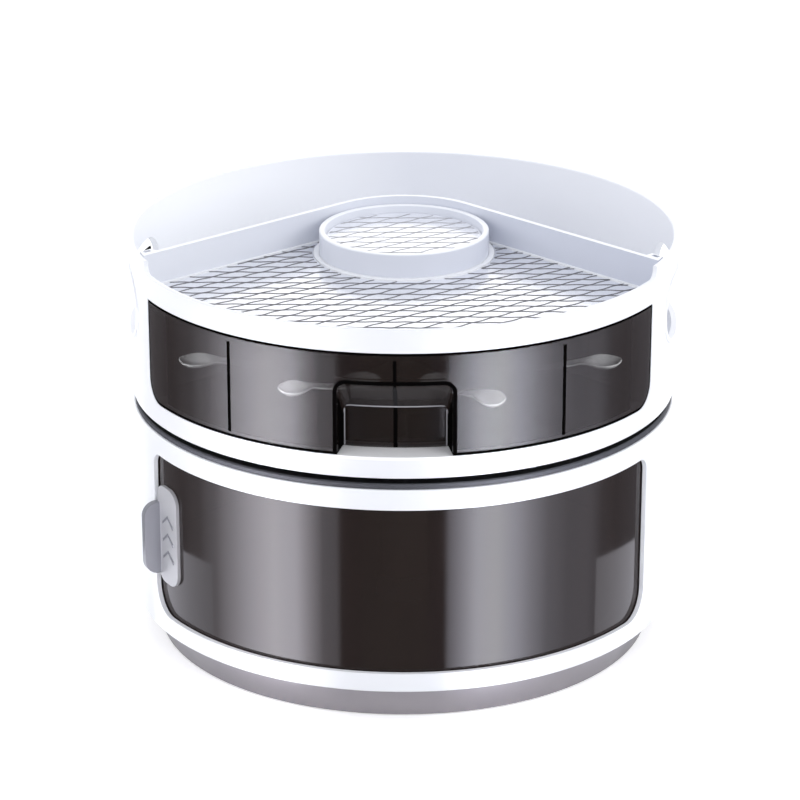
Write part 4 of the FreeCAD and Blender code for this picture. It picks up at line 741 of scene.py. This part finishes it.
# Place of the bowl across and in front of the axis, turn in degrees, and how low the leaf rests.
for node_name, across, forward, turn, drop in (
    ("spoon_outer_left", -58.1, 34.1, -46.2, 1.4), ("spoon_inner_left", -22.4, 59.9, -26.6, 2.0),
    ("spoon_inner_right", 22.4, 59.9, 22.8, 6.5), ("spoon_outer_right", 58.1, 34.1, 47.8, 0.0),
):
    helper = linked("helper", spoon_mesh("helper", ROLL if turn < 0 else -ROLL, drop))
    skin = helper.modifiers.new("skin", "SOLIDIFY")
    skin.thickness, skin.offset = 1.1, 0
    smooth = helper.modifiers.new("smooth", "SUBSURF")
    smooth.levels = smooth.render_levels = 2
    mesh = evaluated(helper, f"{node_name}_moulding")
    mesh.transform(
        Matrix.Scale(MM, 4) @ Matrix.Translation((across, -forward, DRAWER_FLOOR))
        @ Matrix.Rotation(math.radians(turn), 4, "Z"))
    for face in mesh.polygons:
        face.use_smooth = True
    paint(mesh, clear_spoon)
    spoon = linked(f"{node_name}_moulding", mesh)
    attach(spoon, "drawer")
    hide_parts(node_name)
    spoons.append(spoon)
    print(spoon.name, len(spoon.data.polygons), "faces")

# %% [markdown]
# The floor is a plain pale sheet that takes a soft shadow. It adds a little light of its own for
# the camera and for reflections, so it reads as a clean white sweep without brighter lamps.

# %% Floor
HALF, FLOOR_GLOW = 6.0, 0.42
floor_mesh = bpy.data.meshes.new("floor")
floor_mesh.from_pydata(
    [(-HALF, -HALF, 0), (HALF, -HALF, 0), (HALF, HALF, 0), (-HALF, HALF, 0)], [], [(0, 1, 2, 3)])
floor = linked("floor", floor_mesh)
paper, paper_tree, paper_shader = new_material("white_paper")
ray = add(paper_tree, "ShaderNodeLightPath").outputs
seen = chained(
    paper_tree, "MAXIMUM", ray["Is Camera Ray"], ray["Is Glossy Ray"], ray["Is Transmission Ray"])
fill(paper_tree, paper_shader, {
    "Base Color": blend(paper_tree, noise(paper_tree, 2.5, 2.0), "#f0f0f0", "#eeeeee"),
    "Roughness": 0.9, "Specular IOR Level": 0.1, "Emission Color": (1, 1, 1, 1),
    "Emission Strength": times(paper_tree, seen, FLOOR_GLOW)})
floor_mesh.materials.append(paper)
print("floor is", 2 * HALF, "m wide")

# %% [markdown]
# Soft studio light: an even pale surround, one large lamp overhead, two at the front and two
# beside the object. The two beside it are hidden from reflections, because they would show as
# bright patches in the smoked fronts.

# %% Light
world = bpy.data.worlds.new("studio")
bpy.context.scene.world = world
world.use_nodes = True
sky_tree = world.node_tree
camera_ray = add(sky_tree, "ShaderNodeLightPath").outputs["Is Camera Ray"]
fill(sky_tree, sky_tree.nodes["Background"], {
    "Color": colour("#f6f8ff"), "Strength": remap(sky_tree, camera_ray, 0.0, 1.0, 0.80, 1.0)})


def lamp(name, place, aim, side_length, power):
    """A square lamp, its side in metres, turned towards a point."""
    light = bpy.data.lights.new(name, "AREA")
    light.size = side_length
    light.energy = power
    holder = linked(name, light)
    holder.location = place
    holder.rotation_euler = (Vector(aim) - Vector(place)).to_track_quat("-Z", "Y").to_euler()
    return holder


lamp("overhead", (0.1, 0.2, 1.7), (0, 0, 0.1), 1.6, 5.6)
lamp("front_left", (-1.1, -1.2, 0.9), (0, 0, 0.12), 0.9, 3.5)
lamp("front_right", (1.2, -1.1, 0.9), (0, 0, 0.12), 0.9, 7.5)
for side, power in ((-1, 7.7), (1, 5.8)):
    beside = lamp(f"beside_{side}", (1.6 * side, 0.5, 0.5), (0, 0, 0.12), 0.8, power)
    beside.visible_glossy = False
bpy.context.scene.view_settings.view_transform = "Standard"
print("studio lamps are set")

# %% [markdown]
# Two small lamps reach only the spoons, as light does that is piped into clear plastic. These
# lamps are strong, so the spoons throw none of that light on the drawer round them. It would
# only show there as speckle.

# %% Light for the spoons
clear_ones = bpy.data.collections.new("clear_ones")
for piece in spoons:
    clear_ones.objects.link(piece)
    piece.visible_diffuse = piece.visible_glossy = False
for side in (-1, 1):
    piped = lamp(f"piped_{side}", (0.75 * side, -1.0, 0.55), (0.09 * side, -0.09, 0.18), 0.4, 85.0)
    piped.light_linking.receiver_collection = clear_ones

# %% [markdown]
# The two tall reflections on the smoked fronts come from glowing cards that stand low beside the
# object. A card is laid out backwards: from each point of the round front the line of sight is
# mirrored, and the card's corner is put where that mirrored line has gone far enough outwards.

# %% Shape of a reflection card
# A card stands its start distance away at a height of CARD_FOOT, and leans out by CARD_LEAN
# millimetres for each millimetre further up the front.
CARD_FOOT, CARD_LEAN = 22, 0.7
CARD_COLUMNS, CARD_ROWS = 40, 6


def mirrored(angle, radius):
    """Plan direction in which the camera's line of sight leaves a round wall."""
    wall = around(radius, angle)
    sight = wall - camera.location
    sight.z = 0
    sight.normalize()
    outward = wall.normalized()
    return sight - 2 * sight.dot(outward) * outward


def card_mesh(name, first, last, low, high, start):
    """A sheet between two azimuths and two heights. Its attribute across runs from 0 to 1."""
    drop = math.tan(LIFT)
    work = bmesh.new()
    across = work.verts.layers.float.new("across")
    grid = []
    for row in range(CARD_ROWS + 1):
        height = low + (high - low) * row / CARD_ROWS
        away = start + CARD_LEAN * (height - CARD_FOOT)
        line = []
        for column in range(CARD_COLUMNS + 1):
            share = column / CARD_COLUMNS
            angle = first + (last - first) * share
            place = around(PANEL, angle, height - away * drop) + mirrored(angle, PANEL) * away * MM
            corner = work.verts.new(place)
            corner[across] = share
            line.append(corner)
        grid.append(line)
    for below, above in zip(grid, grid[1:]):
        for column in range(CARD_COLUMNS):
            work.faces.new((below[column], below[column + 1], above[column + 1], above[column]))
    mesh = bpy.data.meshes.new(name)
    work.to_mesh(mesh)
    work.free()
    return mesh


print("a sight that meets the front at 25 degrees leaves towards", mirrored(25, PANEL))

# %% [markdown]
# The cards are kept to reflections only, so they shape the gloss and don't burn out the white
# walls. Their glow fades at the edges, as that of a studio softbox does.

# %% Glow of a reflection card
# The ends of a softbox glow no less than this.
DIMMEST = 0.4
# A colour ramp ends at 1, so the lamp behind it is a little stronger and leaves room for a tint.
HEADROOM = 1.05
VIOLET, BLUE = (0.99, 0.97, 1.07), (0.97, 0.98, 1.12)
PLAIN, PALE_VIOLET = (1.0, 1.0, 1.0), (0.95, 0.95, 1.05)


def bare_material(name):
    """A material whose tree is still empty."""
    material, tree, _ = new_material(name)
    tree.nodes.clear()
    return material, tree


def card_glow(name, glow_at, tint):
    """A glow that changes along the attribute across."""
    material, tree = bare_material(name)
    first, last = glow_at[0][0], glow_at[-1][0]
    strength = HEADROOM * max(glow for _, glow in glow_at)
    place = add(tree, "ShaderNodeAttribute", attribute_name="across")
    profile = add(tree, "ShaderNodeValToRGB", {"Fac": place.outputs["Fac"]})
    stops = profile.color_ramp.elements
    for angle, _ in glow_at[1:-1]:
        stops.new((angle - first) / (last - first))
    for stop, (_, glow) in zip(stops, glow_at):
        stop.color = [min(1.0, channel * glow / strength) for channel in tint] + [1]
    light = add(tree, "ShaderNodeEmission", {"Color": profile.outputs["Color"], "Strength": strength})
    add(tree, "ShaderNodeOutputMaterial", {"Surface": light.outputs["Emission"]})
    return material


def reflection_card(name, glow_at, low=4, high=222, start=20, tint=VIOLET):
    """A glowing sheet that the fronts reflect. glow_at pairs each azimuth with a radiance."""
    mesh = card_mesh(name, glow_at[0][0], glow_at[-1][0], low, high, start)
    mesh.materials.append(card_glow(name, glow_at, tint))
    card = linked(name, mesh)
    card.visible_camera = card.visible_diffuse = card.visible_shadow = False
    card.visible_transmission = False
    print(name, "has", len(mesh.polygons), "faces")


def dimmed(glow_at, share):
    """The same softbox at a share of its power."""
    return tuple((angle, max(DIMMEST, glow * share)) for angle, glow in glow_at)


print("card tools ready")

# %% [markdown]
# Each softbox is brightest near its inner edge and fades outwards, and its ends are darker than
# the room. Its upper half faces the drawer and its lower, dimmer half faces the door. A dark
# board between the two keeps the middle of the fronts dark. Pale boards on the table show low in
# both lower corners of the door.

# %% Set the reflection cards
# Degrees from the front towards the right, and the radiance there.
LEFT_GLOW = (
    (-7, 0.5), (-11, 0.6), (-12, 4), (-15, 5), (-18, 13), (-21, 23), (-26, 25),
    (-31, 17.5), (-36, 9.5), (-41, 3.5), (-46, 1.2), (-52, 0.4), (-66, 0.4))
RIGHT_GLOW = (
    (7, 0.5), (10, 0.6), (11, 7), (13.5, 14), (17, 25), (21, 26), (25, 19), (29, 11),
    (33, 5.5), (38, 3.3), (44, 2.6), (48, 1), (52, 0.6), (66, 0.4))
# Height at which the halves of the softboxes meet, in millimetres.
MIDDLE = 138
reflection_card("left_card_top", LEFT_GLOW, low=MIDDLE)
reflection_card("right_card_top", dimmed(RIGHT_GLOW, 1.07), low=MIDDLE, tint=BLUE)
reflection_card("left_card_foot", dimmed(LEFT_GLOW, 0.77), high=MIDDLE)
reflection_card("right_card_foot", dimmed(RIGHT_GLOW, 0.71), high=MIDDLE, tint=BLUE)
reflection_card("dark_board", ((-7, 0.5), (7, 0.5)), tint=PLAIN)
reflection_card("left_board", ((-42.5, 2.7), (-62.0, 2.7)), high=73, start=14, tint=PALE_VIOLET)
reflection_card("right_board", ((46.4, 3.0), (62.0, 3.0)), high=76, start=14, tint=PALE_VIOLET)
print("the fronts have their reflections")

# %% [markdown]
# The mats mirror a bright wall behind the object. A small near black sheet behind the left
# hand-hold shows through it as a small black triangle, a painted shadow in the gap there.

# %% Wall and painted shadow
def flat_card(name, corners, glow):
    """A flat sheet with an even glow on its front. The corners are in metres, the glow is linear."""
    mesh = bpy.data.meshes.new(name)
    mesh.from_pydata([Vector(corner) for corner in corners], [], [range(len(corners))])
    card = linked(name, mesh)
    material, tree = bare_material(name)
    light = add(tree, "ShaderNodeEmission", {"Color": (*glow, 1), "Strength": 1.0})
    clear = add(tree, "ShaderNodeBsdfTransparent")
    behind = add(tree, "ShaderNodeNewGeometry").outputs["Backfacing"]
    sheet = add(tree, "ShaderNodeMixShader", {0: behind, 1: light.outputs[0], 2: clear.outputs[0]})
    add(tree, "ShaderNodeOutputMaterial", {"Surface": sheet.outputs[0]})
    mesh.materials.append(material)
    card.visible_diffuse = card.visible_shadow = card.visible_transmission = False
    return card


WALL = ((-1.5, 1.5, 0.15), (1.5, 1.5, 0.15), (1.5, 1.5, 1.5), (-1.5, 1.5, 1.5))
back_wall = flat_card("back_wall", WALL, (1.3, 1.3, 1.33))
back_wall.visible_camera = False
# The painted shadow's corners: degrees round the object, and height in millimetres.
SHADOW_PATCH, SHADOW_PATCH_RADIUS = ((-108, 202.5), (-111, 201), (-110, 207), (-106, 206.5)), 159.5
# A near black sheet where the gap lies in shade: a painted shadow.
flat_card("painted_shadow_patch", [around(SHADOW_PATCH_RADIUS, *corner) for corner in SHADOW_PATCH], (0.012, 0.012, 0.013))
print("wall and cloth are set")
